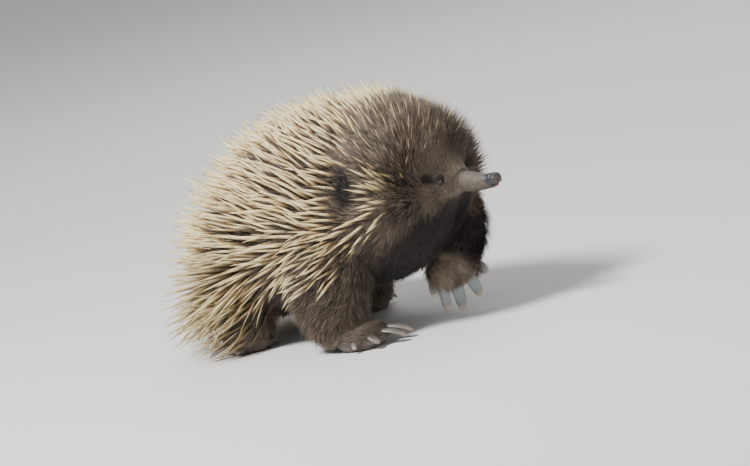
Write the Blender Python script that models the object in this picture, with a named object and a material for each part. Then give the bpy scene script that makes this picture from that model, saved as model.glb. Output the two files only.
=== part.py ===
"""Short-beaked echidna, a still life-size model that walks on a level floor.

The animal faces +X with +Z up and its left side at +Y. Lengths below are in millimetres in the
body's own frame and become metres when a mesh is made. The trunk, head and beak are one lofted
surface, parted by thin gaps. Legs, feet and claws are lofts along a path. Spines and locks of hair
are set on the surfaces in seeded loops and fused with the node that they grow from.
"""

import math
import random

import bmesh
import bpy
from mathutils import Matrix, Vector
from mathutils.bvhtree import BVHTree

MM = 0.001
GAP = 0.3
SEED = 11

# Trunk, head and beak: place along the body, half width, and heights of the top line,
# of the widest level and of the underside.
TRUNK = (
    (-204, 6, 67, 57, 47),
    (-199, 38, 94, 60, 34),
    (-187, 60, 121, 66, 26),
    (-164, 77, 153, 75, 24),
    (-132, 88, 184, 86, 27),
    (-95, 94, 206, 97, 33),
    (-55, 96, 219, 104, 42),
    (-15, 95, 226, 110, 47),
    (25, 89, 228, 117, 54),
    (55, 81, 224, 124, 64),
    (80, 72, 214, 131, 79),
    (100, 57, 197, 137, 98),
    (112, 41, 179, 141, 113),
    (122, 26, 164, 142, 123),
    (130, 15.5, 155, 141.5, 129),
    (133.5, 11.8, 152.5, 141, 130),
)
BEAK = (
    (133.5, 10.6, 151.2, 141, 130.2),
    (142, 9.6, 149.7, 140.2, 129.6),
    (152, 8.2, 147.2, 139.4, 129.2),
    (160, 7.2, 145.6, 139, 129.8),
    (166, 7.1, 145.8, 139, 130.6),
    (171, 7.1, 146.2, 139, 131.4),
    (175, 5.7, 144.8, 139, 133.1),
    (177, 3, 142, 139, 136),
)
REAR_X = TRUNK[0][0]
NECK_X = 30
BEAK_ROOT_X = TRUNK[-1][0]
BEAK_TIP_X = BEAK[-1][0]

# The head is turned to its left from the neck on.
TURN_PIVOT_X = 60
TURN_FULL_X = 110
TURN_DEG = 8

EYE = (118.4, 20.5, 148)
EYE_RADIUS = 4.4
LID_THICK = 1.3
LID_OPENING = (3.1, 2.2)
EAR_X = 53
EAR_ANGLE = 68
EAR_HALF = (8, 13, 7)
EAR_WALL = 2

# Each limb is a path of centres with the half width across the body and the half depth along it.
RIGHT_FORELEG = (
    (8, -52, 128, 28, 40),
    (6, -72, 98, 32, 44),
    (6, -84, 66, 33, 43),
    (9, -88, 42, 29, 37),
    (16, -88, 26, 24, 29),
    (22, -87, 14, 20, 23),
)
LEFT_FORELEG = (
    (30, 46, 132, 28, 38),
    (48, 58, 108, 30, 38),
    (63, 56, 86, 29, 30),
    (69, 44, 68, 26, 22),
    (68, 35, 55, 23, 16),
)
RIGHT_HINDLEG = (
    (-128, -40, 90, 26, 36),
    (-130, -56, 64, 27, 33),
    (-134, -65, 42, 24, 28),
    (-137, -68, 24, 20, 23),
    (-138, -69, 13, 17, 19),
)
LEFT_HINDLEG = (
    (-84, 40, 92, 26, 36),
    (-86, 56, 64, 27, 33),
    (-92, 67, 42, 24, 28),
    (-96, 71, 24, 20, 23),
    (-97, 72, 13, 17, 19),
)
TAIL = (
    (-176, 0, 58, 15, 13),
    (-190, 0, 50, 13, 11),
    (-203, 0, 42, 9, 8),
    (-211, 0, 37, 3, 3),
)

# Each foot: centre of the pad, turn about the upright, and half length, width and height.
FEET = {
    "right_forefoot": ((36, -86, 10), 20, (28, 23, 14)),
    "left_forefoot": ((66, 31, 47), -30, (13, 26, 18)),
    "right_hindfoot": ((-138, -70, 9), -135, (24, 19, 13)),
    "left_hindfoot": ((-98, 74, 9), 135, (24, 19, 13)),
}
# Each claw: where it leaves the toe, its tip, its width and its thickness.
CLAWS = {
    "right_forefoot": (
        ((44, -63, 10), (54, -56, 5), 6, 4),
        ((52, -67, 14), (79, -55, 7), 10, 5.5),
        ((60, -80, 13), (83, -70, 6), 11, 5.5),
        ((60, -97, 11.5), (70, -98, 6.5), 10, 5),
        ((44, -106, 9), (50, -113, 5), 6, 4),
    ),
    "left_forefoot": (
        ((57, 7, 38), (58, 5, 25), 6, 4),
        ((62, 16, 35), (64, 15, 7), 11, 5.5),
        ((69, 29, 35), (71, 30, 4), 13, 6),
        ((77, 41, 37), (82, 49, 13), 12, 5.5),
        ((83, 54, 44), (88, 61, 33), 8, 4.5),
    ),
    "right_hindfoot": (
        ((-133, -92, 8), (-131, -100, 4), 6, 4),
        ((-145, -91, 10), (-161, -110, 5), 7, 5),
        ((-156, -84, 9), (-171, -96, 5), 7, 5),
        ((-161, -75, 8), (-174, -80, 5), 6, 4),
        ((-161, -66, 8), (-170, -66, 5), 5, 4),
    ),
    "left_hindfoot": (
        ((-93, 96, 8), (-91, 104, 4), 6, 4),
        ((-105, 95, 10), (-121, 114, 5), 7, 5),
        ((-116, 88, 9), (-131, 100, 5), 7, 5),
        ((-121, 79, 8), (-134, 84, 5), 6, 4),
        ((-121, 70, 8), (-130, 70, 5), 5, 4),
    ),
}
CLAW_ROOT = 6

# The mouth is a small gap under the tip of the beak, with the tip of the tongue in it.
MOUTH = (161, 136.4, 0.7, 2.6)
TONGUE = ((163, 0, 136.3, 1.2, 1.1), (172, 0, 135.9, 1.2, 1.1), (179.5, 0, 134.8, 0.8, 0.8))
NOSTRIL = (170.5, 2.4, 145.6)

# Spines: how far round from the top line they grow, and their length and lean, along the body.
SPINE_EDGE = (
    (-204, 162),
    (-150, 150),
    (-95, 123),
    (0, 111),
    (40, 107),
    (66, 102),
    (84, 80),
    (95, 54),
    (110, 28),
)
SPINE_LENGTH = (
    (-204, 54),
    (-150, 57),
    (-60, 51),
    (0, 46),
    (40, 40),
    (70, 34),
    (95, 32),
    (112, 27),
)
SPINE_LEAN = (
    (-204, 44),
    (-150, 42),
    (-95, 53),
    (-60, 59),
    (0, 60),
    (40, 58),
    (60, 49),
    (80, 38),
    (112, 28),
)
# Round from the top line they sweep up towards it, and below the flank they sweep down.
SPINE_SWEEP = (
    (0, -0.1),
    (25, -0.5),
    (70, -0.55),
    (85, -0.4),
    (95, -0.1),
    (106, 0.25),
    (125, 0.5),
    (180, 0.6),
)
RUMP_DROOP = 0.5
SPINE_GAP = 14.8
SPINE_RADIUS = 2.0
CROWN_SPINE_RADIUS = 1.4
SPINE_SINK = 5
LOCK_GAP = 20.5
LOWEST = 3
CLEAR_STEP = 2

COLOURS = {
    "coat": ((0.16, 0.115, 0.08), 0.85),
    "beak": ((0.3, 0.25, 0.2), 0.6),
    "claw": ((0.45, 0.43, 0.38), 0.35),
    "eye": ((0.01, 0.008, 0.008), 0.08),
    "flesh": ((0.55, 0.25, 0.22), 0.4),
}


def clear_scene():
    """Removes what the startup scene holds."""
    for obj in list(bpy.data.objects):
        bpy.data.objects.remove(obj, do_unlink=True)


def finish_of(name):
    """The named material, made once."""
    found = bpy.data.materials.get(name)
    if found:
        return found
    colour, roughness = COLOURS[name]
    material = bpy.data.materials.new(name)
    material.use_nodes = True
    shader = material.node_tree.nodes["Principled BSDF"]
    shader.inputs["Base Color"].default_value = (*colour, 1)
    shader.inputs["Roughness"].default_value = roughness
    shader.inputs["Metallic"].default_value = 0
    return material


def between(table, x):
    """The row of a table at x, on a smooth curve through its rows."""
    last = len(table) - 1
    x = min(max(x, table[0][0]), table[last][0])
    i = max(k for k in range(last) if table[k][0] <= x)
    a, b = table[i], table[i + 1]
    step = b[0] - a[0]
    t = (x - a[0]) / step

    def slope(k, column):
        low, high = table[max(k - 1, 0)], table[min(k + 1, last)]
        return (high[column] - low[column]) / (high[0] - low[0])

    values = []
    for column in range(1, len(a)):
        m0, m1 = slope(i, column) * step, slope(i + 1, column) * step
        values.append(
            a[column] * (2 * t**3 - 3 * t**2 + 1)
            + m0 * (t**3 - 2 * t**2 + t)
            + b[column] * (3 * t**2 - 2 * t**3)
            + m1 * (t**3 - t**2)
        )
    return values


def smooth_step(t):
    """0 below 0, 1 above 1, and a smooth rise between."""
    t = min(max(t, 0), 1)
    return t * t * (3 - 2 * t)


def turned(point):
    """A point of the straight animal, moved as the head turns."""
    reach = TURN_FULL_X - TURN_PIVOT_X
    angle = math.radians(TURN_DEG) * smooth_step((point[0] - TURN_PIVOT_X) / reach)
    x, y = point[0] - TURN_PIVOT_X, point[1]
    return Vector((
        TURN_PIVOT_X + x * math.cos(angle) - y * math.sin(angle),
        x * math.sin(angle) + y * math.cos(angle),
        point[2],
    ))


def section_point(table, x, angle, grow=0.0):
    """A point of the loft at x. The angle is 0 at the top line and grows towards the left side."""
    half_width, top, wide, bottom = between(table, x)
    rise = top - wide if math.cos(angle) > 0 else wide - bottom
    return turned((
        x,
        (half_width + grow) * math.sin(angle),
        wide + (rise + grow) * math.cos(angle),
    ))


def skin_frame(table, x, angle):
    """Point, outward normal, backward and downward directions on the loft."""
    point = section_point(table, x, angle)
    along = section_point(table, x - 1, angle) - section_point(table, x + 1, angle)
    around = section_point(table, x, angle + 0.02) - section_point(table, x, angle - 0.02)
    normal = around.cross(along).normalized()
    back = along.normalized()
    down = (around * (1 if angle > 0 else -1)).normalized()
    return point, normal, back, down


def mesh_object(name, bm, finish):
    """A named object from a bmesh in millimetres of the body's frame."""
    bmesh.ops.triangulate(bm, faces=[f for f in bm.faces if len(f.verts) > 4])
    bmesh.ops.recalc_face_normals(bm, faces=bm.faces)
    bm.transform(Matrix.Scale(MM, 4))
    mesh = bpy.data.meshes.new(name)
    bm.to_mesh(mesh)
    bm.free()
    mesh.shade_smooth()
    mesh.set_sharp_from_angle(angle=math.radians(50))
    mesh.materials.append(finish_of(finish))
    obj = bpy.data.objects.new(name, mesh)
    bpy.context.scene.collection.objects.link(obj)
    return obj


def loft(rings):
    """A bmesh through rings of points with the same count, with flat ends."""
    bm = bmesh.new()
    rows = [[bm.verts.new(p) for p in ring] for ring in rings]
    for low, high in zip(rows, rows[1:]):
        for k in range(len(low)):
            nxt = (k + 1) % len(low)
            bm.faces.new((low[k], low[nxt], high[nxt], high[k]))
    bm.faces.new(list(reversed(rows[0])))
    bm.faces.new(rows[-1])
    return bm


def body_loft(table, start, end, rings, sides, grow=0.0, ease_start=False, ease_end=False):
    """The stretch of the body from start to end. An eased end has its rings closer together."""
    points = []
    for i in range(rings):
        t = i / (rings - 1)
        if ease_start:
            t = 1 - math.cos(t * math.pi / 2)
        if ease_end:
            t = math.sin(t * math.pi / 2)
        x = start + (end - start) * t
        x += grow * ((i == rings - 1) - (i == 0))
        angles = [2 * math.pi * k / sides for k in range(sides)]
        points.append([section_point(table, x, a, grow) for a in angles])
    return loft(points)


def torso_loft(grow=0.0):
    """The trunk behind the neck."""
    return body_loft(TRUNK, REAR_X, NECK_X - GAP / 2, 14, 26, grow, ease_start=True)


def path_at(path, t):
    """The values of a limb's path at t from 0 to 1, on a smooth curve through its rows."""
    rows = [(i / (len(path) - 1), *row) for i, row in enumerate(path)]
    return between(rows, t)


def limb_loft(path, across, rings, sides, grow=0.0):
    """A tapering tube with oval sections. across is the direction of the first half size."""
    points = []
    for i in range(rings):
        t = i / (rings - 1)
        x, y, z, wide, deep = path_at(path, t)
        ahead = Vector(path_at(path, min(t + 0.02, 1))[:3])
        behind = Vector(path_at(path, max(t - 0.02, 0))[:3])
        tangent = (ahead - behind).normalized()
        side = Vector(across)
        side = (side - side.dot(tangent) * tangent).normalized()
        deep_axis = tangent.cross(side)
        centre = Vector((x, y, z))
        if i == 0:
            centre -= tangent * grow
        if i == rings - 1:
            centre += tangent * grow
        angles = [2 * math.pi * k / sides for k in range(sides)]
        points.append([
            centre
            + side * (wide + grow) * math.cos(a)
            + deep_axis * (deep + grow) * math.sin(a)
            for a in angles
        ])
    return loft(points)


def oval(centre, axes, half, sides=12, rows=7):
    """An ellipsoid. axes are the directions of its three half sizes."""
    bm = bmesh.new()
    bmesh.ops.create_uvsphere(bm, u_segments=sides, v_segments=rows, radius=1)
    columns = [Vector(axis).normalized() * size for axis, size in zip(axes, half)]
    basis = Matrix(columns).transposed().to_4x4()
    bm.transform(Matrix.Translation(centre) @ basis)
    return bm


def helper(bm):
    """A temporary object for a Boolean."""
    return mesh_object("helper", bm, "coat")


def combine(target, others, operation, solver="EXACT"):
    """Applies one Boolean of the target with a list of objects, and removes them."""
    group = bpy.data.collections.new("operands")
    bpy.context.scene.collection.children.link(group)
    for other in others:
        group.objects.link(other)
        bpy.context.scene.collection.objects.unlink(other)
    modifier = target.modifiers.new("combine", "BOOLEAN")
    modifier.operation = operation
    modifier.operand_type = "COLLECTION"
    modifier.collection = group
    modifier.solver = solver
    shapes = bpy.context.evaluated_depsgraph_get()
    mesh = bpy.data.meshes.new_from_object(target.evaluated_get(shapes))
    target.modifiers.clear()
    target.data = mesh
    for other in others:
        bpy.data.objects.remove(other, do_unlink=True)
    bpy.data.collections.remove(group)


def keep_largest(target):
    """Keeps the largest closed surface of an object, in triangles."""
    bm = bmesh.new()
    bm.from_mesh(target.data)
    bm.faces.ensure_lookup_table()
    unseen = set(bm.faces)
    pieces = []
    while unseen:
        stack = [unseen.pop()]
        piece = set(stack)
        while stack:
            for edge in stack.pop().edges:
                for face in edge.link_faces:
                    if face in unseen:
                        unseen.discard(face)
                        piece.add(face)
                        stack.append(face)
        pieces.append(piece)
    pieces.sort(key=len)
    spare = [face for piece in pieces[:-1] for face in piece]
    bmesh.ops.delete(bm, geom=spare, context="FACES")
    bmesh.ops.triangulate(bm, faces=bm.faces)
    bm.to_mesh(target.data)
    bm.free()
    target.data.set_sharp_from_angle(angle=math.radians(50))


def strand(root, out, lie, length, wide, thick, lean, curl, steps, sides=4, sink=SPINE_SINK):
    """A tapered spine or lock from a surface. It leans from out towards lie, more so to its tip."""
    out = Vector(out).normalized()
    lie = Vector(lie)
    lie = (lie - lie.dot(out) * out).normalized()
    across = out.cross(lie)
    angle = math.radians(lean)
    centre = Vector(root) - (out * math.cos(angle) + lie * math.sin(angle)) * sink
    rings, line = [], []
    reach = length + sink
    for i in range(steps + 1):
        t = i / steps
        angle = math.radians(lean + curl * t)
        ahead = out * math.cos(angle) + lie * math.sin(angle)
        flat = across.cross(ahead)
        taper = 1 - 0.12 * t if t < 0.5 else 0.94 * (1 - t) / 0.5 + 0.02
        if i == steps:
            rings.append([centre.copy()])
        else:
            rings.append([
                centre
                + across * math.cos(a) * wide * taper
                + flat * math.sin(a) * thick * taper
                for a in (2 * math.pi * k / sides for k in range(sides))
            ])
        line.append((centre.copy(), max(wide, thick) * taper))
        centre += ahead * reach / steps
    bm = bmesh.new()
    rows = [[bm.verts.new(p) for p in ring] for ring in rings]
    bm.faces.new(list(reversed(rows[0])))
    for low, high in zip(rows, rows[1:]):
        for k in range(sides):
            nxt = (k + 1) % sides
            if len(high) == 1:
                bm.faces.new((low[k], low[nxt], high[0]))
            else:
                bm.faces.new((low[k], low[nxt], high[nxt], high[k]))
    return bm, line


def tree_of(obj):
    """A search tree of an object's surface."""
    bm = bmesh.new()
    bm.from_mesh(obj.data)
    tree = BVHTree.FromBMesh(bm)
    bm.free()
    return tree


def is_inside(tree, point):
    """Whether a point lies within a closed surface, from how often a line from it crosses it."""
    heading = Vector((0.31, 0.22, 0.92)).normalized()
    crossings = 0
    spot = point * MM
    for _ in range(60):
        hit = tree.ray_cast(spot, heading)[0]
        if hit is None:
            break
        crossings += 1
        spot = hit + heading * 1e-6
    return crossings % 2 == 1


def is_clear(line, trees, floor=LOWEST):
    """Whether a strand keeps off the other pieces and above the floor."""
    for (start, wide), (end, narrow) in zip(line, line[1:]):
        count = math.ceil((end - start).length / CLEAR_STEP)
        for k in range(count + 1):
            t = k / count
            point = start.lerp(end, t)
            room = wide * (1 - t) + narrow * t + 2 * GAP
            if point.z < floor:
                return False
            for tree in trees:
                if tree.find_nearest(point * MM, room * MM)[0] is not None:
                    return False
    return not any(is_inside(tree, line[k][0]) for tree in trees for k in (0, -1))


def scatter(table, start, end, spacing, allowed, tries, chance):
    """Seeded roots on the body, no two of them closer than the spacing."""
    roots = []
    for _ in range(tries):
        x = chance.uniform(start, end)
        degrees = chance.uniform(-180, 180)
        if not allowed(x, abs(degrees)):
            continue
        point = section_point(table, x, math.radians(degrees))
        room = spacing(x, abs(degrees))
        if all((point - other[2]).length > room for other in roots):
            roots.append((x, degrees, point))
    return roots


def is_spiny(x, degrees):
    """Whether spines grow at a place on the trunk."""
    return degrees < between(SPINE_EDGE, x)[0]


def trunk_spines(start, end, chance, trees):
    """The spines whose roots lie between two places along the body."""
    spines = []

    def spacing(x, degrees):
        return SPINE_GAP * (1 if x < 60 else 0.85)

    for x, degrees, point in scatter(TRUNK, start, end, spacing, is_spiny, 9000, chance):
        _, out, back, down = skin_frame(TRUNK, x, math.radians(degrees))
        side = abs(math.sin(math.radians(degrees)))
        droop = RUMP_DROOP * smooth_step((abs(degrees) - 80) / 35) * smooth_step((-100 - x) / 50)
        lie = back + down * (between(SPINE_SWEEP, abs(degrees))[0] + droop)
        low = smooth_step((abs(degrees) - 78) / 36) * smooth_step((-70 - x) / 60)
        length = between(SPINE_LENGTH, x)[0] * (1 - 0.06 * side + 0.42 * low) * chance.uniform(0.9, 1.08)
        lean = between(SPINE_LEAN, x)[0] + 3 * side + chance.uniform(-5, 5)
        lie += back.cross(out) * chance.uniform(-0.15, 0.15)
        radius = SPINE_RADIUS if x < 70 else CROWN_SPINE_RADIUS
        for _ in range(4):
            shape, line = strand(point, out, lie, length, radius, radius, lean, -8, 2)
            if is_clear(line, trees):
                spines.append(helper(shape))
                break
            shape.free()
            lean -= 4
            length *= 0.82
    return spines


def head_locks(chance, trees):
    """Flat locks of hair on the face, the crown and the throat."""
    locks = []

    def is_hairy(x, degrees):
        return not is_spiny(x, degrees + 4)

    def spacing(x, degrees):
        return LOCK_GAP * (1 if x < 100 else 0.62)

    for x, degrees, point in scatter(TRUNK, NECK_X + 8, 124, spacing, is_hairy, 6000, chance):
        _, out, back, down = skin_frame(TRUNK, x, math.radians(degrees))
        side = abs(math.sin(math.radians(degrees)))
        lie = back + down * 0.25 * side
        near_beak = smooth_step((x - 92) / 36)
        high = smooth_step((118 - abs(degrees)) / 48) * smooth_step((x - 72) / 24) * (1 - near_beak)
        length = (25 + 6 * high - 13 * near_beak) * chance.uniform(0.85, 1.15)
        wide = 5 - 2.4 * near_beak
        lean = 48 + 20 * near_beak - 20 * high + chance.uniform(-6, 6)
        shape, line = strand(point, out, lie, length, wide, wide * 0.4, lean, 14, 3, sink=3)
        if is_clear(line, trees):
            locks.append(helper(shape))
        else:
            shape.free()
    return locks


def leg_locks(path, across, start, end, chance, trees):
    """Flat locks of hair that hang down a leg."""
    locks, roots = [], []
    for _ in range(900):
        t = chance.uniform(start, end)
        around = chance.uniform(0, 2 * math.pi)
        x, y, z, wide, deep = path_at(path, t)
        below = Vector(path_at(path, t + 0.03)[:3])
        tangent = (below - Vector((x, y, z))).normalized()
        side = Vector(across)
        side = (side - side.dot(tangent) * tangent).normalized()
        deep_axis = tangent.cross(side)
        out = side * math.cos(around) / wide + deep_axis * math.sin(around) / deep
        point = (
            Vector((x, y, z))
            + side * wide * math.cos(around)
            + deep_axis * deep * math.sin(around)
        )
        if any((point - other).length < LOCK_GAP for other in roots):
            continue
        roots.append(point)
        length = 24 * chance.uniform(0.85, 1.15)
        lie = tangent + Vector((-0.35, 0, 0))
        shape, line = strand(point, out, lie, length, 4.5, 1.8, 62, 14, 3, sink=3)
        if is_clear(line, trees):
            locks.append(helper(shape))
        else:
            shape.free()
    return locks


def foot_shapes(name, grow=0.0):
    """The pad and toes of a foot as separate closed shapes."""
    centre, yaw, half = FEET[name]
    turn = math.radians(yaw)
    axes = (
        (math.cos(turn), math.sin(turn), 0),
        (-math.sin(turn), math.cos(turn), 0),
        (0, 0, 1),
    )
    shapes = [oval(centre, axes, [h + grow for h in half])]
    for base, tip, width, thick in CLAWS[name]:
        heading = (Vector(tip) - Vector(base)).normalized()
        start = Vector(centre).lerp(Vector(base), 0.45)
        end = Vector(base) + heading * 1.5
        along = (end - start).normalized()
        side = along.cross((0, 0, 1)).normalized()
        size = ((end - start).length * 0.5 + grow, width * 0.5 + 2 + grow, thick * 0.5 + 3 + grow)
        shapes.append(oval((start + end) / 2, (along, side, side.cross(along)), size, 7, 5))
    return shapes


def make_foot(name, grow=0.0):
    """A foot, flat under its sole where it reaches the floor."""
    shapes = foot_shapes(name, grow)
    foot = mesh_object(name if not grow else "helper", shapes[0], "coat")
    combine(foot, [helper(shape) for shape in shapes[1:]], "UNION")
    slab = bmesh.new()
    bmesh.ops.create_cube(slab, size=1)
    depth = 60
    slab.transform(Matrix.Translation((0, 0, -depth / 2 - grow)) @ Matrix.Diagonal((600, 400, depth, 1)))
    combine(foot, [helper(slab)], "DIFFERENCE")
    return foot


def claw_loft(name, base, tip, width, thick, grow=0.0):
    """A flat curved claw with a blunt tip, and its root inside the toe."""
    base, tip = Vector(base), Vector(tip)
    heading = (tip - base).normalized()
    turn = math.radians(FEET[name][1])
    front = Vector((math.cos(turn), math.sin(turn), 0))
    up = Vector((0, 0, 1)) if abs(heading.z) < 0.75 else front
    side = heading.cross(up).normalized()
    over = side.cross(heading).normalized()
    start = base - heading * CLAW_ROOT
    length = (tip - start).length
    rings = []
    for t, size in ((0, 0.8), (0.3, 1), (0.6, 0.96), (0.85, 0.72), (1, 0.3)):
        end = -grow if t == 0 else grow if t == 1 else 0
        centre = start + heading * (length * t + end) + over * 0.08 * length * (4 * t * (1 - t))
        rings.append([
            centre
            + side * (width * size / 2 + grow) * math.cos(a)
            + over * (thick * size / 2 + grow) * math.sin(a)
            for a in (2 * math.pi * k / 6 for k in range(6))
        ])
    return loft(rings)


def make_eye(sign):
    """Where an eye is, and the way that it looks out of the head."""
    x, y, z = EYE
    centre = turned((x, sign * y, z))
    _, out, _, _ = skin_frame(TRUNK, x, sign * math.radians(78))
    return centre, out


def head_loft(grow=0.0):
    """The head from the neck to the root of the beak."""
    return body_loft(TRUNK, NECK_X + GAP / 2, BEAK_ROOT_X, 12, 26, grow, ease_end=True)


def make_head():
    """The head with its lids and ear sockets, the eyes and the ears."""
    head = mesh_object("head", head_loft(), "coat")
    pieces = [head]
    for label, sign in (("right", -1), ("left", 1)):
        centre, out = make_eye(sign)
        level = out.cross((0, 0, 1)).normalized()
        axes = (level, out.cross(level), out)
        lid = oval(centre, axes, [EYE_RADIUS + LID_THICK] * 3, 10, 7)
        combine(head, [helper(lid)], "UNION", "MANIFOLD")
        socket = oval(centre, axes, [EYE_RADIUS + GAP] * 3)
        combine(head, [helper(socket)], "DIFFERENCE", "MANIFOLD")
        opening = oval(centre + out * 6, axes, (*LID_OPENING, 6.5), 10, 6)
        combine(head, [helper(opening)], "DIFFERENCE", "MANIFOLD")
        pieces.append(mesh_object(f"{label}_eye", oval(centre, axes, [EYE_RADIUS] * 3), "eye"))
        point, out, back, down = skin_frame(TRUNK, EAR_X, sign * math.radians(EAR_ANGLE))
        axes = (back, down, out)
        long, tall, deep = EAR_HALF
        socket = oval(point, axes, (long + GAP, tall + GAP, deep + GAP), 10, 6)
        combine(head, [helper(socket)], "DIFFERENCE", "MANIFOLD")
        ear = mesh_object(f"{label}_ear", oval(point, axes, EAR_HALF, 10, 6), "coat")
        inner = (long - EAR_WALL, tall - EAR_WALL, deep)
        hollow = oval(point + out * (EAR_WALL + 1), axes, inner, 10, 6)
        combine(ear, [helper(hollow)], "DIFFERENCE")
        pieces.append(ear)
    return pieces


def make_beak():
    """The beak with its nostrils and mouth, and the tip of the tongue."""
    beak = mesh_object(
        "beak",
        body_loft(BEAK, BEAK_ROOT_X + GAP, BEAK_TIP_X, 12, 16, ease_end=True),
        "beak",
    )
    back_x, level, thin, open_by = MOUTH
    wedge = bmesh.new()
    bmesh.ops.create_cube(wedge, size=1)
    for vert in wedge.verts:
        front = vert.co.x > 0
        reach = BEAK_TIP_X + 6 if front else back_x
        rise = open_by if front else thin
        vert.co = turned((reach, vert.co.y * 30, level + vert.co.z * rise))
    combine(beak, [helper(wedge)], "DIFFERENCE")

    def tongue_path(x):
        return [(*turned(row[:3]), *row[3:]) for row in x]

    tongue_room = limb_loft(tongue_path(TONGUE), (0, 1, 0), 5, 8, grow=GAP)
    combine(beak, [helper(tongue_room)], "DIFFERENCE")
    tongue = mesh_object("tongue", limb_loft(tongue_path(TONGUE), (0, 1, 0), 5, 8), "flesh")
    for sign in (-1, 1):
        x, y, z = NOSTRIL
        centre = turned((x, sign * y, z))
        axes = (turned((x + 1, sign * y * 0.8, z)) - centre, (0, 1, 0), (0, 0, 1))
        combine(beak, [helper(oval(centre, axes, (1.8, 0.8, 1.3), 8, 6))], "DIFFERENCE")
    keep_largest(beak)
    return [beak, tongue]


def make_limb(name, path, across, rings, sides, foot):
    """A leg, cut clear of the trunk and of its foot."""
    leg = mesh_object(name, limb_loft(path, across, rings, sides), "coat")
    combine(leg, [helper(torso_loft(2 * GAP))], "DIFFERENCE")
    combine(leg, [helper(head_loft(2 * GAP))], "DIFFERENCE")
    combine(leg, [make_foot(foot, grow=GAP)], "DIFFERENCE")
    rooms = [helper(claw_loft(foot, *claw, GAP)) for claw in CLAWS[foot]]
    combine(leg, rooms, "DIFFERENCE", "MANIFOLD")
    keep_largest(leg)
    return leg


def main():
    """Makes every piece and stands the animal over the origin."""
    clear_scene()
    chance = random.Random(SEED)
    torso = mesh_object("torso", torso_loft(), "coat")
    head, *features = make_head()
    beak_pieces = make_beak()
    legs = []
    limbs = (
        ("right_foreleg", RIGHT_FORELEG, "right_forefoot"),
        ("left_foreleg", LEFT_FORELEG, "left_forefoot"),
        ("right_hindleg", RIGHT_HINDLEG, "right_hindfoot"),
        ("left_hindleg", LEFT_HINDLEG, "left_hindfoot"),
    )
    for name, path, foot in limbs:
        legs.append(make_limb(name, path, (0, 1, 0), 7, 14, foot))
    feet, claws = [], []
    for name in FEET:
        foot = make_foot(name)
        for number, (base, tip, width, thick) in enumerate(CLAWS[name], 1):
            label = name.replace("foot", "claw")
            room = claw_loft(name, base, tip, width, thick, GAP)
            combine(foot, [helper(room)], "DIFFERENCE")
            claws.append(mesh_object(f"{label}_{number}", claw_loft(name, base, tip, width, thick), "claw"))
        keep_largest(foot)
        feet.append(foot)
    tail = mesh_object("tail", limb_loft(TAIL, (0, 1, 0), 6, 12), "coat")
    combine(tail, [helper(torso_loft(3 * GAP))], "DIFFERENCE")
    keep_largest(tail)

    others = [*features, *beak_pieces, *legs, *feet, *claws, tail]
    trees = [tree_of(obj) for obj in others]
    spines = trunk_spines(REAR_X + 4, NECK_X - 7, chance, [*trees, tree_of(head)])
    combine(torso, spines, "UNION", "MANIFOLD")
    keep_largest(torso)
    trees.append(tree_of(torso))
    strands = trunk_spines(NECK_X + 8, 111, chance, trees)
    strands += head_locks(chance, trees)
    combine(head, strands, "UNION", "MANIFOLD")
    keep_largest(head)
    for leg, (_, path, _) in zip(legs[:2], limbs[:2]):
        near = [tree_of(obj) for obj in (torso, head, *beak_pieces, *legs, *feet, *claws) if obj is not leg]
        locks = leg_locks(path, (0, 1, 0), 0.3, 0.85, chance, near)
        combine(leg, locks, "UNION", "MANIFOLD")
        keep_largest(leg)

    pieces = [torso, head, *features, *beak_pieces, *legs, *feet, *claws, tail]
    corners = [vert.co for obj in pieces for vert in obj.data.vertices]
    shift = Vector((
        -(min(c.x for c in corners) + max(c.x for c in corners)) / 2,
        -(min(c.y for c in corners) + max(c.y for c in corners)) / 2,
        0,
    ))
    body = bpy.data.collections.new("echidna")
    bpy.context.scene.collection.children.link(body)
    for obj in pieces:
        obj.data.transform(Matrix.Translation(shift))
        bpy.context.scene.collection.objects.unlink(obj)
        body.objects.link(obj)


if __name__ == "__main__":
    main()
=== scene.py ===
"""Short-beaked echidna, a still life-size model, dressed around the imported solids.

Sizes in the classes are in millimetres of the body's own frame, where the animal faces +X with its
left side at +Y. A mesh is made in metres of the row frame. The coat is solid mesh: spines, and locks
of hair that follow the lie of the coat over one skin.
"""

import logging
import math
from dataclasses import dataclass, field
from enum import Enum
from typing import Any, Callable, Sequence

import bmesh
import bpy
import numpy as np
from mathutils import Matrix, Vector
from mathutils.bvhtree import BVHTree
from mathutils.kdtree import KDTree

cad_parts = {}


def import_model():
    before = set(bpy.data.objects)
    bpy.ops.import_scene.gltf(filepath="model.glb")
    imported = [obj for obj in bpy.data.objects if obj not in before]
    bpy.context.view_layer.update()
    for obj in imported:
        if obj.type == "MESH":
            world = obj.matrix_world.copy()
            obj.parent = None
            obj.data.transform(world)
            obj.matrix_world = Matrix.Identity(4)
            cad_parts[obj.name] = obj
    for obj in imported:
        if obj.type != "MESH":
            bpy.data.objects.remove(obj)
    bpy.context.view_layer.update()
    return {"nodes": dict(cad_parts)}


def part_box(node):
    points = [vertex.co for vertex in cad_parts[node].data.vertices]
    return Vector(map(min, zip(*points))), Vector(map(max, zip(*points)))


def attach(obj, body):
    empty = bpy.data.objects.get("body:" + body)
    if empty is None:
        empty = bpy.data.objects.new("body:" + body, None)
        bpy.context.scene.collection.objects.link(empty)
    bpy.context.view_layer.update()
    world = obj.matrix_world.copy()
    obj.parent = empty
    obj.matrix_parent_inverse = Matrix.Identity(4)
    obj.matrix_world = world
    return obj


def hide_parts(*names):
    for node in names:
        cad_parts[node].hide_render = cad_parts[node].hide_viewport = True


Array = np.ndarray
Chance = np.random.Generator
Piece = bpy.types.Object
Material = bpy.types.Material
Pair = tuple[float, float]
Triple = tuple[float, float, float]
Colour = Triple
Shape = tuple[Array, list[tuple[int, ...]]]
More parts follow.
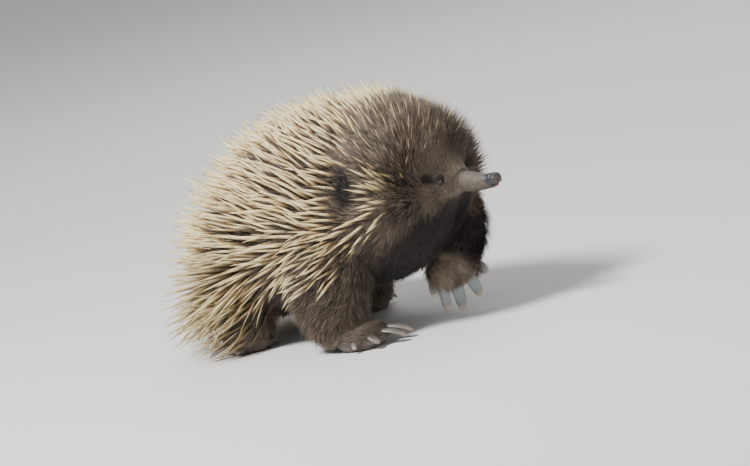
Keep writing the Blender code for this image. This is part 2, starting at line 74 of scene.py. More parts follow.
LOG = logging.getLogger("echidna")

MM = 0.001
BODY = "root"
SEED = 23
FULL_TURN = 2 * math.pi
UP = np.array([0.0, 0.0, 1.0])
# The side of the patch that one strand takes in the unwrap.
PATCH = 0.003
# How far back and to each side the coat may reach.
REAR_LIMIT = -280.0
SIDE_LIMIT = 140.0


class Slot(Enum):
    """The record's material slots."""

    COAT = "coat"
    BEAK = "beak"
    HORN = "horn"
    EYE = "eye"
    FLESH = "flesh"


class Side(Enum):
    """The two sides of the animal, with the sign of y."""

    RIGHT = -1
    LEFT = 1


# Numbers and directions


def unit(vectors: Array) -> Array:
    """Rows scaled to length 1."""
    return vectors / np.maximum(np.linalg.norm(vectors, axis=-1, keepdims=True), 1e-9)


def ease(values: Array | float) -> Array:
    """0 below 0, 1 above 1, and a smooth rise between."""
    clipped = np.clip(values, 0.0, 1.0)
    return clipped * clipped * (3 - 2 * clipped)


def bell(distance: Array, width: float) -> Array:
    """1 at distance 0, falling smoothly to nothing past the width."""
    return np.exp(-((distance / width) ** 2))


def ring_angles(sides: int) -> Array:
    """The angles of a ring's points, in radians."""
    return FULL_TURN * np.arange(sides) / sides


def dot(first: Array, second: Array) -> Array:
    """The dot product of each pair of rows."""
    return np.sum(first * second, axis=-1)


def drift(points: Array, size: float, seed: int) -> Array:
    """A smooth random number from about -1 to 1 at each point.

    Args:
        points: Places, one a row.
        size: The length over which the number changes.
        seed: Picks one of many patterns.

    Returns:
        One number for each point.
    """
    chance = np.random.default_rng(seed)
    waves = 7
    headings = unit(chance.normal(size=(waves, 3))) * chance.uniform(0.7, 1.5, (waves, 1))
    phases = chance.uniform(0, FULL_TURN, waves)
    return np.sin(points @ headings.T * (FULL_TURN / size / 2) + phases).sum(axis=1) / math.sqrt(waves)


@dataclass(frozen=True)
class Profile:
    """Rows of values along an axis, with a smooth curve through them."""

    rows: tuple[tuple[float, ...], ...]

    def at(self, places: Array | float) -> Array:
        """The values at each place.

        Args:
            places: Positions along the axis; the first entry of each row is one.

        Returns:
            An array with one row for each place.
        """
        table = np.array(self.rows, dtype=float)
        keys, values = table[:, 0], table[:, 1:]
        last = len(keys) - 1
        index = np.arange(len(keys))
        before, after = np.maximum(index - 1, 0), np.minimum(index + 1, last)
        slopes = (values[after] - values[before]) / (keys[after] - keys[before])[:, None]
        places = np.clip(np.atleast_1d(np.asarray(places, dtype=float)), keys[0], keys[-1])
        low = np.clip(np.searchsorted(keys, places, side="right") - 1, 0, last - 1)
        step = (keys[low + 1] - keys[low])[:, None]
        t = (places - keys[low])[:, None] / step
        return (
            values[low] * (2 * t**3 - 3 * t**2 + 1)
            + slopes[low] * step * (t**3 - 2 * t**2 + t)
            + values[low + 1] * (3 * t**2 - 2 * t**3)
            + slopes[low + 1] * step * (t**3 - t**2)
        )

    def first(self, places: Array | float) -> Array:
        """The first value at each place."""
        return self.at(places)[:, 0]


@dataclass(frozen=True)
class HeadTurn:
    """The head's turn to the animal's left."""

    pivot: float = 60
    full: float = 110
    degrees: float = 8

    def angle(self, x: Array) -> Array:
        """The turn in radians at each place along the body."""
        return math.radians(self.degrees) * ease((x - self.pivot) / (self.full - self.pivot))

    def points(self, straight: Array) -> Array:
        """Points of the straight animal, moved as the head turns.

        Args:
            straight: The points, one a row.

        Returns:
            The moved points.
        """
        angle = self.angle(straight[..., 0])
        x, y = straight[..., 0] - self.pivot, straight[..., 1]
        cos, sin = np.cos(angle), np.sin(angle)
        return np.stack([self.pivot + x * cos - y * sin, x * sin + y * cos, straight[..., 2]], axis=-1)


@dataclass(frozen=True)
class Tile:
    """A rectangle of the skin's unwrap."""

    left: float
    low: float
    wide: float
    high: float

    def place(self, across: Array, up: Array) -> Array:
        """The unwrap's coordinates of places given from 0 to 1 in the rectangle."""
        return np.stack([self.left + across * self.wide, self.low + up * self.high], axis=-1)


TURN = HeadTurn()


# Where the coat grows


@dataclass
class Roots:
    """Places on the skin where something grows, one a row."""

    point: Array
    out: Array
    lie: Array
    unwrap: Array
    along: Array
    around: Array

    def __len__(self) -> int:
        """The number of roots."""
        return len(self.point)

    def chosen(self, keep: Array) -> "Roots":
        """The roots that a mask or a list of indexes picks."""
        parts = (self.point, self.out, self.lie, self.unwrap, self.along, self.around)
        return Roots(*(part[keep] for part in parts))


def apart(points: Array, spacing: Array) -> Array:
    """The indexes of points that keep their spacing from those already picked.

    Args:
        points: Candidates, one a row.
        spacing: The least distance for each of them.

    Returns:
        The picked indexes, in order.
    """
    cell = float(spacing.max())
    grid: dict[tuple[int, int, int], list[int]] = {}
    picked: list[int] = []
    keys = np.floor(points / cell).astype(int)
    steps = [(i, j, k) for i in (-1, 0, 1) for j in (-1, 0, 1) for k in (-1, 0, 1)]
    for index, (a, b, c) in enumerate(keys.tolist()):
        near = [n for i, j, k in steps for n in grid.get((a + i, b + j, c + k), ())]
        if near:
            gaps = points[near] - points[index]
            if float((gaps * gaps).sum(axis=1).min()) < spacing[index] ** 2:
                continue
        grid.setdefault((a, b, c), []).append(index)
        picked.append(index)
    return np.array(picked, dtype=int)


def gathered(roots: Roots, share: int, chance: Chance) -> Array:
    """The way from each root to the middle of the clump that it belongs to.

    Args:
        roots: The roots of the hairs.
        share: About how many hairs make a clump.
        chance: The source of random numbers.

    Returns:
        One vector for each root.
    """
    count = max(len(roots) // share, 1)
    middles = roots.point[chance.choice(len(roots), count, replace=False)]
    tree = KDTree(count)
    for index, middle in enumerate(middles.tolist()):
        tree.insert(middle, index)
    tree.balance()
    nearest = np.array([tree.find(point)[1] for point in roots.point.tolist()], dtype=int)
    return middles[nearest] - roots.point


# Meshes from arrays


@dataclass(frozen=True)
class Frame:
    """Where the body's own frame lies in the row frame, in millimetres."""

    shift: Pair

    def metres(self, points: Array) -> Array:
        """Points of the body's frame as row metres."""
        return (points + np.array([self.shift[0], self.shift[1], 0.0])) * MM


def tube(rings: Array, looped: bool = False) -> Shape:
    """The points and faces of a tube through rings of points.

    Args:
        rings: Points as (ring, point of the ring, xyz).
        looped: Whether the last ring meets the first; otherwise both ends are closed flat.

    Returns:
        The points as one list of rows, and the faces.
    """
    rows, sides, _ = rings.shape
    faces: list[tuple[int, ...]] = []
    for row in range(rows if looped else rows - 1):
        low, high = row * sides, (row + 1) % rows * sides
        for k in range(sides):
            nxt = (k + 1) % sides
            faces.append((low + k, low + nxt, high + nxt, high + k))
    if not looped:
        faces.append(tuple(reversed(range(sides))))
        faces.append(tuple(range((rows - 1) * sides, rows * sides)))
    return rings.reshape(-1, 3), faces


def mesh_object(name: str, points: Array, faces: Sequence[Sequence[int]], frame: Frame) -> Piece:
    """A smooth object with its faces turned outwards.

    Args:
        name: The object's name.
        points: Its points in the body's frame.
        faces: The indexes of each face's points.
        frame: Where the body's frame lies.

    Returns:
        The object, in the scene.
    """
    mesh = bpy.data.meshes.new(name)
    mesh.from_pydata(frame.metres(points).tolist(), [], [tuple(face) for face in faces])
    shape = bmesh.new()
    shape.from_mesh(mesh)
    bmesh.ops.recalc_face_normals(shape, faces=shape.faces)
    shape.to_mesh(mesh)
    shape.free()
    mesh.shade_smooth()
    obj = bpy.data.objects.new(name, mesh)
    bpy.context.scene.collection.objects.link(obj)
    return obj


def set_numbers(mesh: bpy.types.Mesh, name: str, values: Array) -> None:
    """Stores one number for each point of a mesh under a name that its finish reads."""
    mesh.attributes.new(name, "FLOAT", "POINT").data.foreach_set("value", values.astype(np.float32))


def rows_of(vectors: Any, name: str) -> Array:
    """The vectors of a mesh's points, one a row.

    Args:
        vectors: The mesh's vertices, or its vertex normals.
        name: What the vector is called there.

    Returns:
        The array.
    """
    flat = np.empty(len(vectors) * 3, dtype=np.float32)
    vectors.foreach_get(name, flat)
    return flat.reshape(-1, 3).astype(float)


def set_points(mesh: bpy.types.Mesh, points: Array) -> None:
    """Moves the points of a mesh."""
    mesh.vertices.foreach_set("co", points.astype(np.float32).ravel())
    mesh.update()


def settle(obj: Piece) -> None:
    """Applies an object's modifiers.

    Args:
        obj: The object, which keeps its name.
    """
    shapes = bpy.context.evaluated_depsgraph_get()
    mesh = bpy.data.meshes.new_from_object(obj.evaluated_get(shapes))
    obj.modifiers.clear()
    spare, obj.data = obj.data, mesh
    bpy.data.meshes.remove(spare)


def dress(
    obj: Piece, material: Material, slot: Slot, replaced: Sequence[str] = ()
) -> Piece:
    """Gives a piece its finish, hangs it on the body and hides the nodes that it stands for.

    Args:
        obj: The piece.
        material: Its finish.
        slot: The record's slot that the finish belongs to; not used.
        replaced: The nodes that the piece stands for.

    Returns:
        The same piece.
    """
    obj.data.materials.clear()
    obj.data.materials.append(material)
    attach(obj, BODY)
    if replaced:
        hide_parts(*replaced)
    LOG.info("%s: %d faces", obj.name, len(obj.data.polygons))
    return obj


# Nodes of the finishes


class Signal:
    """A number or a colour that varies over a surface, with operators that add nodes for numbers."""

    def __init__(self, graph: "Graph", socket: bpy.types.NodeSocket) -> None:
        """A signal from one socket of a finish's nodes."""
        self.graph = graph
        self.socket = socket

    def _math(self, operation: str, first: Any, second: Any) -> "Signal":
        """A Math node's result."""
        node = self.graph.node("ShaderNodeMath", {"operation": operation}, {0: first, 1: second})
        return Signal(self.graph, node.outputs[0])

    def __add__(self, other: "Signal | float") -> "Signal":
        """The sum with another signal or a number."""
        return self._math("ADD", self, other)

    def __radd__(self, other: float) -> "Signal":
        """The sum with a number in front."""
        return self._math("ADD", other, self)

    def __sub__(self, other: "Signal | float") -> "Signal":
        """This less another signal or a number."""
        return self._math("SUBTRACT", self, other)

    def __rsub__(self, other: float) -> "Signal":
        """A number less this."""
        return self._math("SUBTRACT", other, self)

    def __mul__(self, other: "Signal | float") -> "Signal":
        """The product with another signal or a number."""
        return self._math("MULTIPLY", self, other)

    def __rmul__(self, other: float) -> "Signal":
        """The product with a number in front."""
        return self._math("MULTIPLY", other, self)

    def rise(self, low: float, high: float) -> "Signal":
        """0 below low, 1 above high, and a smooth rise between.

        Args:
            low: Where the rise starts.
            high: Where it ends.

        Returns:
            The new signal.
        """
        node = self.graph.node(
            "ShaderNodeMapRange",
            {"interpolation_type": "SMOOTHSTEP", "clamp": True},
            {"Value": self, "From Min": low, "From Max": high},
        )
        return Signal(self.graph, node.outputs[0])

    def mix(self, low: Any, high: Any) -> "Signal":
        """The colour low where this is 0 and high where it is 1.

        Args:
            low: A colour or a signal.
            high: A colour or a signal.

        Returns:
            The mixed colour.
        """
        node = self.graph.node(
            "ShaderNodeMix", {"data_type": "RGBA", "clamp_factor": True}, {0: self, 6: low, 7: high}
        )
        return Signal(self.graph, node.outputs[2])


class Graph:
    """The nodes of one finish."""

    def __init__(self, name: str) -> None:
        """An empty finish.

        Args:
            name: The material's name.
        """
        self.material = bpy.data.materials.new(name)
        self.material.use_nodes = True
        self.tree = self.material.node_tree
        self.tree.nodes.clear()

    def node(
        self, kind: str, settings: dict[str, Any] | None = None, inputs: dict[Any, Any] | None = None
    ) -> bpy.types.Node:
        """A node with its settings and then its sockets.

        Args:
            kind: The node's type.
            settings: Values of the node itself, set first.
            inputs: A value or a link for each socket, by name or number.

        Returns:
            The node.
        """
        node = self.tree.nodes.new(kind)
        for key, value in (settings or {}).items():
            setattr(node, key, value)
        for key, value in (inputs or {}).items():
            socket = node.inputs[key]
            if isinstance(value, Signal):
                self.tree.links.new(value.socket, socket)
            elif isinstance(value, tuple) and socket.type == "RGBA":
                socket.default_value = (*value, 1)
            else:
                socket.default_value = value
        return node

    def place(self) -> Signal:
        """The place on the object, in metres."""
        return Signal(self, self.node("ShaderNodeTexCoord").outputs["Object"])

    def number(self, name: str) -> Signal:
        """A number that the mesh holds at its points."""
        node = self.node("ShaderNodeAttribute", {"attribute_name": name})
        return Signal(self, node.outputs["Fac"])

    def joined(self, x: Any, y: Any, z: Any) -> Signal:
        """A vector from three numbers."""
        return Signal(self, self.node("ShaderNodeCombineXYZ", None, {0: x, 1: y, 2: z}).outputs[0])

    def stretched(self, vector: Signal, scale: Triple) -> Signal:
        """A vector with each part scaled."""
        node = self.node("ShaderNodeVectorMath", {"operation": "MULTIPLY"}, {0: vector, 1: scale})
        return Signal(self, node.outputs[0])

    def noise(self, vector: Signal, scale: float, detail: float = 2, roughness: float = 0.5) -> Signal:
        """A cloudy pattern around 0.5."""
        inputs = {"Vector": vector, "Scale": scale, "Detail": detail, "Roughness": roughness}
        return Signal(self, self.node("ShaderNodeTexNoise", None, inputs).outputs[0])

    def cells(self, vector: Signal, scale: float, feature: str = "F1") -> Signal:
        """A pattern of cells, 0 in the middle of each, or at their edges for DISTANCE_TO_EDGE."""
        node = self.node("ShaderNodeTexVoronoi", {"feature": feature}, {"Vector": vector, "Scale": scale})
        return Signal(self, node.outputs["Distance"])

    def bump(self, height: Signal, strength: float, depth: float) -> Signal:
        """A normal from a height, whose depth is in metres."""
        inputs = {"Strength": strength, "Distance": depth, "Height": height}
        return Signal(self, self.node("ShaderNodeBump", None, inputs).outputs[0])

    def shade(self, **inputs: Any) -> Material:
        """Ends the finish in one shader.

        Args:
            **inputs: The shader's sockets, with underscores for the spaces in their names.

        Returns:
            The finished material.
        """
        named = {key.replace("_", " "): value for key, value in inputs.items()}
        shader = self.node("ShaderNodeBsdfPrincipled", None, named)
        output = self.node("ShaderNodeOutputMaterial")
        self.tree.links.new(shader.outputs[0], output.inputs[0])
        return self.material


@dataclass(frozen=True)
class FurFinish:
    """Grey-brown hair, darker at its roots and lighter at its tips, the tips partly a painted glint; painted
    shade darkens it behind the eyes, round the ears and under the body.
    """

    name: str = "fur"
    root: Colour = (0.028, 0.019, 0.013)
    dark: Colour = (0.050, 0.035, 0.024)
    light: Colour = (0.188, 0.138, 0.097)
    # Paler tips, partly the hair's own colour and partly a painted glint.
    tip: Colour = (0.48, 0.39, 0.285)
    face: Colour = (0.42, 0.335, 0.26)
    face_root: Colour = (0.085, 0.062, 0.045)
    # Painted shade: behind the eyes, round the ears and under the body.
    recess: Colour = (0.011, 0.007, 0.005)

    def material(self) -> Material:
        """The finish, which reads along, tint, pale and shade, the painted shade, from the mesh.

        Returns:
            The finished material.
        """
        graph = Graph(self.name)
        along, tint = graph.number("along"), graph.number("tint")
        pale, shade = graph.number("pale"), graph.number("shade")
        hair = tint.mix(self.dark, self.light)
        hair = (pale * 0.85).mix(hair, self.face)
        # Lighter tips on the lighter hairs, partly a painted glint.
        hair = (along.rise(0.5, 1.0) * tint.rise(0.3, 0.95) * 0.9).mix(hair, self.tip)
        hair = along.rise(0.0, 0.5).mix(pale.mix(self.root, self.face_root), hair)
        # Painted shade over the hair's own colour.
        hair = shade.mix(hair, self.recess)
        return graph.shade(
            Base_Color=hair, Roughness=0.52, Specular_IOR_Level=0.35, Sheen_Weight=0.08, Sheen_Roughness=0.4
        )


@dataclass(frozen=True)
class SpineFinish:
    """Horn of a spine: dark brown at its root, partly its own colour and partly painted shade between the
    spines, tan above it, then cream, and dark at some tips; painted shade, tinted olive, darkens the lower
    spines.
    """

    name: str = "spine_horn"
    # The dark root, partly the spine's own colour and partly painted shade in the gaps between spines.
    base: Colour = (0.060, 0.036, 0.018)
    tan: Colour = (0.35, 0.222, 0.105)
    cream: Colour = (0.90, 0.785, 0.47)
    straw: Colour = (0.73, 0.575, 0.26)
    # Painted shade on the lower spines.
    painted_shade_olive: Colour = (0.20, 0.155, 0.070)
    tip: Colour = (0.085, 0.055, 0.035)

    def material(self) -> Material:
        """The finish, which reads along, tint and shade, the painted shade, from the mesh.

        Returns:
            The finished material.
        """
        graph = Graph(self.name)
        along, tint, shade = graph.number("along"), graph.number("tint"), graph.number("shade")
        spine = graph.joined(tint * 60, along * 2.6, tint * 13)
        clouds = graph.noise(spine, 1.0, 3, 0.6)
        streaks = graph.noise(graph.joined(tint * 91, along * 9, 0.3), 1.0, 2, 0.6)
        body = clouds.rise(0.35, 0.65).mix(self.cream, self.straw)
        # Painted shade draws the dark root further up the lower spines.
        reach = along + (clouds - 0.5) * 0.35 + (tint - 0.5) * 0.22 - shade * 0.26
        colour = reach.rise(0.34, 0.60).mix(self.tan, body)
        colour = reach.rise(0.10, 0.36).mix(self.base, colour)
        dark_tip = (along + (tint - 0.5) * 0.2).rise(0.86, 0.97) * tint.rise(0.62, 0.7)
        colour = (dark_tip * 0.85).mix(colour, self.tip)
        colour = (streaks.rise(0.45, 0.75) * 0.25).mix(colour, self.tan)
        brown = tint.rise(0.74, 0.92) * (1 - tint.rise(0.93, 0.97))
        colour = (brown * 0.5).mix(colour, self.tan)
        # Painted shade, tinted olive.
        colour = shade.mix(colour, self.painted_shade_olive)
        rough = 0.34 + clouds * 0.16
        normal = graph.bump(streaks, 0.25, 0.0004)
        return graph.shade(Base_Color=colour, Roughness=rough, Normal=normal, Specular_IOR_Level=0.5)


@dataclass(frozen=True)
class HideFinish:
    """The skin: dark under the coat, partly its own colour and partly painted shade among the hairs, grey and
    creased on the toes, lids and soles, with painted shade in its folds, behind the eyes and round the ears.
    """

    name: str = "hide"
    # Dark under the coat: partly the skin's own colour, partly painted shade among the hairs.
    under: Colour = (0.030, 0.021, 0.016)
    bare: Colour = (0.235, 0.208, 0.185)
    crease: Colour = (0.070, 0.050, 0.042)
    rust: Colour = (0.22, 0.105, 0.055)
    snout: Colour = (0.118, 0.095, 0.072)
    # Painted shade behind the eyes, round the ears and on the lids.
    recess: Colour = (0.010, 0.008, 0.007)

    def material(self) -> Material:
        """The finish, which reads bare, snout, shade, the painted shade, and pale from the mesh.

        Returns:
            The finished material.
        """
        graph = Graph(self.name)
        place = graph.place()
        bare, snout = graph.number("bare"), graph.number("snout")
        shade, pale = graph.number("shade"), graph.number("pale")
        clouds = graph.noise(place, 160, 4, 0.6)
        folds = graph.cells(graph.stretched(place, (1.0, 1.0, 2.2)), 520, "DISTANCE_TO_EDGE")
        pores = graph.noise(place, 2600, 2, 0.6)
        grey = clouds.rise(0.3, 0.7).mix(self.bare, self.crease)
        grey = (graph.noise(place, 70, 2, 0.5).rise(0.58, 0.8) * 0.3).mix(grey, self.rust)
        # Painted shade along the fold lines.
        grey = (1 - folds.rise(0.0, 0.12)).mix(grey, self.crease)
        under = (pale * 0.5).mix(self.under, self.bare)
        chin = clouds.rise(0.3, 0.75).mix(self.snout, self.crease)
        # Painted shade over the skin's own colour.
        colour = shade.mix(snout.mix(bare.mix(under, grey), chin), self.recess)
        height = folds.rise(0.0, 0.3) * 0.7 + pores * 0.3
        return graph.shade(
            Base_Color=colour, Roughness=0.55 + clouds * 0.2, Normal=graph.bump(height, 0.6, 0.0005)
        )


@dataclass(frozen=True)
class BeakFinish:
    """Bare skin of the beak: dusty grey-tan, and dark slate with a wet sheen at the tip, with painted shade
    in the mouth's slit and the nostrils.
    """

    name: str = "beak_skin"
    dust: Colour = (0.138, 0.112, 0.086)
    shadow: Colour = (0.072, 0.057, 0.045)
    slate: Colour = (0.033, 0.034, 0.038)
    umber: Colour = (0.085, 0.060, 0.047)
    # Painted shade in the mouth's slit and the nostrils.
    gape_shade: Colour = (0.020, 0.012, 0.011)

    def material(self) -> Material:
        """The finish, which reads wet, tip and the painted shade of mouth and nostrils from the mesh.

        Returns:
            The finished material.
        """
        graph = Graph(self.name)
        place = graph.place()
        wet, gape_shade, tip = graph.number("wet"), graph.number("gape_shade"), graph.number("tip")
        clouds = graph.noise(place, 190, 4, 0.6)
        grain = graph.cells(place, 1500)
        folds = graph.cells(graph.stretched(place, (2.2, 1.0, 1.0)), 420, "DISTANCE_TO_EDGE")
        skin = clouds.rise(0.3, 0.75).mix(self.dust, self.shadow)
        skin = ((1 - folds.rise(0.0, 0.1)) * 0.6).mix(skin, self.shadow)
        wet_edge = (wet + (clouds - 0.5) * 0.7).rise(0.2, 0.9)
        slate = (tip * clouds.rise(0.3, 0.6)).mix(self.slate, self.umber)
        # Painted shade in the mouth's slit and the nostrils.
        colour = gape_shade.mix(wet_edge.mix(skin, slate), self.gape_shade)
        rough = 0.68 - wet_edge * 0.44 + grain * 0.05
        height = folds.rise(0.0, 0.25) * 0.5 + grain * 0.6
        return graph.shade(Base_Color=colour, Roughness=rough, Normal=graph.bump(height, 0.5, 0.0003))


@dataclass(frozen=True)
class HornFinish:
    """A claw: horn with fine lengthwise lines and earthy stains, paler at its rounded tip; the default bluish
    middle is partly the horn's grey and partly a painted sheen of sky light.
    """

    name: str
    root: Colour = (0.105, 0.100, 0.095)
    # Bluish grey, partly the horn's own grey and partly a painted sheen of sky light.
    middle: Colour = (0.250, 0.290, 0.315)
    tip: Colour = (0.62, 0.47, 0.38)
    stain: Colour = (0.23, 0.175, 0.125)

    def material(self) -> Material:
        """The finish, which reads along and across from the mesh.

        Returns:
            The finished material.
        """
        graph = Graph(self.name)
        place = graph.place()
        along, across = graph.number("along"), graph.number("across")
        lines = graph.noise(graph.joined(along * 1.2, across * 16, 0.0), 1.0, 3, 0.6)
        clouds = graph.noise(place, 210, 3, 0.6)
        reach = along + (clouds - 0.5) * 0.22
        colour = reach.rise(0.1, 0.5).mix(self.root, self.middle)
        colour = (lines.rise(0.4, 0.75) * 0.35).mix(colour, self.tip)
        blotches = graph.noise(place, 420, 3, 0.6)
        colour = (blotches.rise(0.50, 0.68) * 0.55).mix(colour, self.stain)
        colour = reach.rise(0.74, 0.97).mix(colour, self.tip)
        rough = 0.26 + clouds * 0.16 + lines * 0.08
        normal = graph.bump(lines, 0.35, 0.0005)
        return graph.shade(Base_Color=colour, Roughness=rough, Normal=normal, Specular_IOR_Level=0.55)


@dataclass(frozen=True)
class EyeFinish:
    """A wet dark eye with a brown iris."""

    name: str = "eye"
    pupil: Colour = (0.004, 0.003, 0.003)
    iris: Colour = (0.030, 0.016, 0.009)
    white: Colour = (0.05, 0.035, 0.028)

    def material(self) -> Material:
        """The finish, which reads look, 1 at the middle of the pupil, from the mesh.

        Returns:
            The finished material.
        """
        graph = Graph(self.name)
        look = graph.number("look")
        fibres = graph.noise(graph.place(), 1800, 3, 0.6)
        iris = fibres.rise(0.3, 0.7).mix(self.iris, self.pupil)
        colour = look.rise(0.80, 0.84).mix(iris, self.pupil)
        colour = look.rise(0.55, 0.62).mix(self.white, colour)
        return graph.shade(Base_Color=colour, Roughness=0.05, Specular_IOR_Level=0.5, Coat_Weight=1.0)


@dataclass(frozen=True)
class TongueFinish:
    """Moist pink flesh, its pale pink partly a painted glint."""

    name: str = "tongue_flesh"
    # Pale pink, partly the flesh's own colour and partly a painted glint.
    pink: Colour = (0.68, 0.38, 0.34)
    deep: Colour = (0.48, 0.22, 0.19)

    def material(self) -> Material:
        """The finish, mottled and moist.

        Returns:
            The finished material.
        """
        graph = Graph(self.name)
        clouds = graph.noise(graph.place(), 900, 3, 0.6)
        colour = clouds.rise(0.35, 0.7).mix(self.pink, self.deep)
        rough = 0.22 + clouds * 0.15
        return graph.shade(Base_Color=colour, Roughness=rough, Normal=graph.bump(clouds, 0.3, 0.0002))


@dataclass(frozen=True)
class StudioFinish:
    """The plain pale floor."""

    name: str = "studio_floor"
    colour: Colour = (0.70, 0.69, 0.67)

    def material(self) -> Material:
        """The finish, even and matt.

        Returns:
            The finished material.
        """
        graph = Graph(self.name)
        clouds = graph.noise(graph.place(), 3, 2, 0.5)
        darker = tuple(0.97 * part for part in self.colour)
        return graph.shade(Base_Color=clouds.mix(self.colour, darker), Roughness=0.85, Specular_IOR_Level=0.2)


# Spines and hair


@dataclass(frozen=True)
class Strand:
    """The make of one kind of spine or hair: its sides and how thick it is from root to tip."""

    sides: int
    thickness: tuple[float, ...]
    flatness: float = 1.0
    sink: float = 1.5

    @property
    def steps(self) -> int:
        """The number of stretches from root to tip; the last ring is a point."""
        return len(self.thickness)

    def faces(self) -> tuple[Array, Array]:
        """The corners of one strand's faces in a row, and the number of corners of each face.

        Returns:
            The corners' indexes, and the counts.
        """
        sides, last = self.sides, self.sides * self.steps
        corners: list[int] = list(range(sides))
        counts = [sides]
        for ring in range(self.steps - 1):
            low, high = ring * sides, (ring + 1) * sides
            for k in range(sides):
                nxt = (k + 1) % sides
                corners += [low + k, high + k, high + nxt, low + nxt]
                counts.append(4)
        low = (self.steps - 1) * sides
        for k in range(sides):
            corners += [low + k, last, low + (k + 1) % sides]
            counts.append(3)
        return np.array(corners), np.array(counts)

    @property
    def triangles(self) -> int:
        """The triangles of one strand."""
        return int((self.faces()[1] - 2).sum())


@dataclass
class Growth:
    """Spines or hairs of one kind, each with its own measures.

    Lean is from the skin's outward direction towards the coat's lie, in degrees, and curl is what is
    added to it by the tip. Sway bends a strand sideways, and pull draws its tip to its clump.
    """

    roots: Roots
    length: Array
    width: Array
    lean: Array
    curl: Array
    sway: Array
    tint: Array
    pull: Array | None = None
    pale: Array | None = None
    # How much painted shade darkens each strand.
    shade: Array | None = None
    floor: float = 1.2

    def grounded(self, clearance: float = 2.0, least: float = 0.45) -> "Growth":
        """The strands shortened where they would pass the floor or stand out too far behind or beside.

        Args:
            clearance: How far their tips stay above the floor.
            least: The share of a strand's length under which it is left out.

        Returns:
            The strands that are left.
        """
        angle = np.radians(self.lean + 0.5 * self.curl)[:, None]
        ahead = self.roots.out * np.cos(angle) + self.roots.lie * np.sin(angle)
        x, y, z = self.roots.point.T
        room = np.stack([z - clearance, x - REAR_LIMIT, SIDE_LIMIT - np.abs(y)])
        way = np.stack([-ahead[:, 2], -ahead[:, 0], ahead[:, 1] * np.sign(y)]) * self.length
        share = np.clip((room / np.maximum(way, 1e-6)).min(axis=0), 0, 1)
        keep = share > least
        optional = {
            name: None if values is None else values[keep]
            for name, values in (("pull", self.pull), ("pale", self.pale), ("shade", self.shade))
        }
        return Growth(
            self.roots.chosen(keep), (self.length * share)[keep], self.width[keep], self.lean[keep],
            self.curl[keep], self.sway[keep], self.tint[keep], **optional,
        )

    def lifted(self, heights: Array) -> Array:
        """Heights kept above the floor, with a smooth bend where a strand would pass it."""
        return self.floor * 0.5 + 0.5 * (heights + np.sqrt(heights**2 + 4 * self.floor**2))

    def rings(self, make: Strand) -> Array:
        """The points of every strand, as (strand, point, xyz).

        Args:
            make: The make of the strands.

        Returns:
            The array of points.
        """
        roots = self.roots
        across = np.cross(roots.out, roots.lie)
        reach = ((self.length + make.sink) / make.steps)[:, None]
        start = np.radians(self.lean)[:, None]
        centre = roots.point - (roots.out * np.cos(start) + roots.lie * np.sin(start)) * make.sink
        turns = ring_angles(make.sides)
        built = np.empty((len(roots), make.sides * make.steps + 1, 3))
        for step in range(make.steps + 1):
            t = step / make.steps
            angle = np.radians(self.lean + self.curl * t)[:, None]
            ahead = roots.out * np.cos(angle) + roots.lie * np.sin(angle) + across * (self.sway * t)[:, None]
            ahead = unit(ahead)
            side = unit(np.cross(ahead, roots.out) * -1 + across * 1e-4)
            over = np.cross(side, ahead)
            spot = centre if self.pull is None else centre + self.pull * t**1.5
            spot = spot.copy()
            spot[:, 2] = self.lifted(spot[:, 2])
            if step == make.steps:
                built[:, -1] = spot
                break
            half = (self.width * make.thickness[step])[:, None, None]
            ring = side[:, None] * np.cos(turns)[None, :, None] * half
            ring = ring + over[:, None] * np.sin(turns)[None, :, None] * half * make.flatness
            built[:, step * make.sides : (step + 1) * make.sides] = spot[:, None] + ring
            centre = centre + ahead * reach
        return built

    def piece(self, name: str, make: Strand, frame: Frame, part: slice) -> Piece:
        """One mesh of a stretch of the strands, with its unwrap and its numbers.

        Args:
            name: The piece's name.
            make: The make of the strands.
            frame: Where the body's frame lies.
            part: Which strands go into the piece.

        Returns:
            The object, in the scene.
        """
        points = self.rings(make)[part]
        count, each, _ = points.shape
        corners, counts = make.faces()
        corners = (corners[None, :] + (np.arange(count) * each)[:, None]).ravel()
        counts = np.tile(counts, count)
        mesh = bpy.data.meshes.new(name)
        mesh.vertices.add(count * each)
        set_points(mesh, frame.metres(points.reshape(-1, 3)))
        mesh.loops.add(len(corners))
        mesh.loops.foreach_set("vertex_index", corners.astype(np.int32))
        mesh.polygons.add(len(counts))
        starts = np.concatenate([[0], np.cumsum(counts)[:-1]])
        mesh.polygons.foreach_set("loop_start", starts.astype(np.int32))
        mesh.update(calc_edges=True)
        mesh.shade_smooth()
        steps = np.append(np.repeat(np.arange(make.steps), make.sides), make.steps) / make.steps
        turns = np.append(np.tile(np.arange(make.sides) / make.sides, make.steps), 0.5)
        patch = (np.stack([turns, steps], axis=-1) - 0.5) * PATCH
        unwrap = (self.roots.unwrap[part][:, None] + patch[None]).reshape(-1, 2)
        layer = mesh.uv_layers.new(name="OFBake", do_init=False)
        layer.uv.foreach_set("vector", unwrap[corners].astype(np.float32).ravel())
        set_numbers(mesh, "along", np.tile(steps, count))
        for label, values in (("tint", self.tint), ("pale", self.pale), ("shade", self.shade)):
            if values is not None:
                set_numbers(mesh, label, np.repeat(values[part], each))
        obj = bpy.data.objects.new(name, mesh)
        bpy.context.scene.collection.objects.link(obj)
        return obj

    def pieces(self, name: str, make: Strand, frame: Frame, limit: int = 190_000) -> list[Piece]:
        """Meshes of all the strands, each under a number of triangles.

        Args:
            name: The start of each piece's name.
            make: The make of the strands.
            frame: Where the body's frame lies.
            limit: The most triangles in a piece.

        Returns:
            The objects, in the scene.
        """
        total = len(self.roots)
        groups = max(math.ceil(total * make.triangles / limit), 1)
        edges = [round(total * k / groups) for k in range(groups + 1)]
        return [
            self.piece(f"{name}_{k + 1}", make, frame, slice(edges[k], edges[k + 1])) for k in range(groups)
        ]


# The surfaces of the body


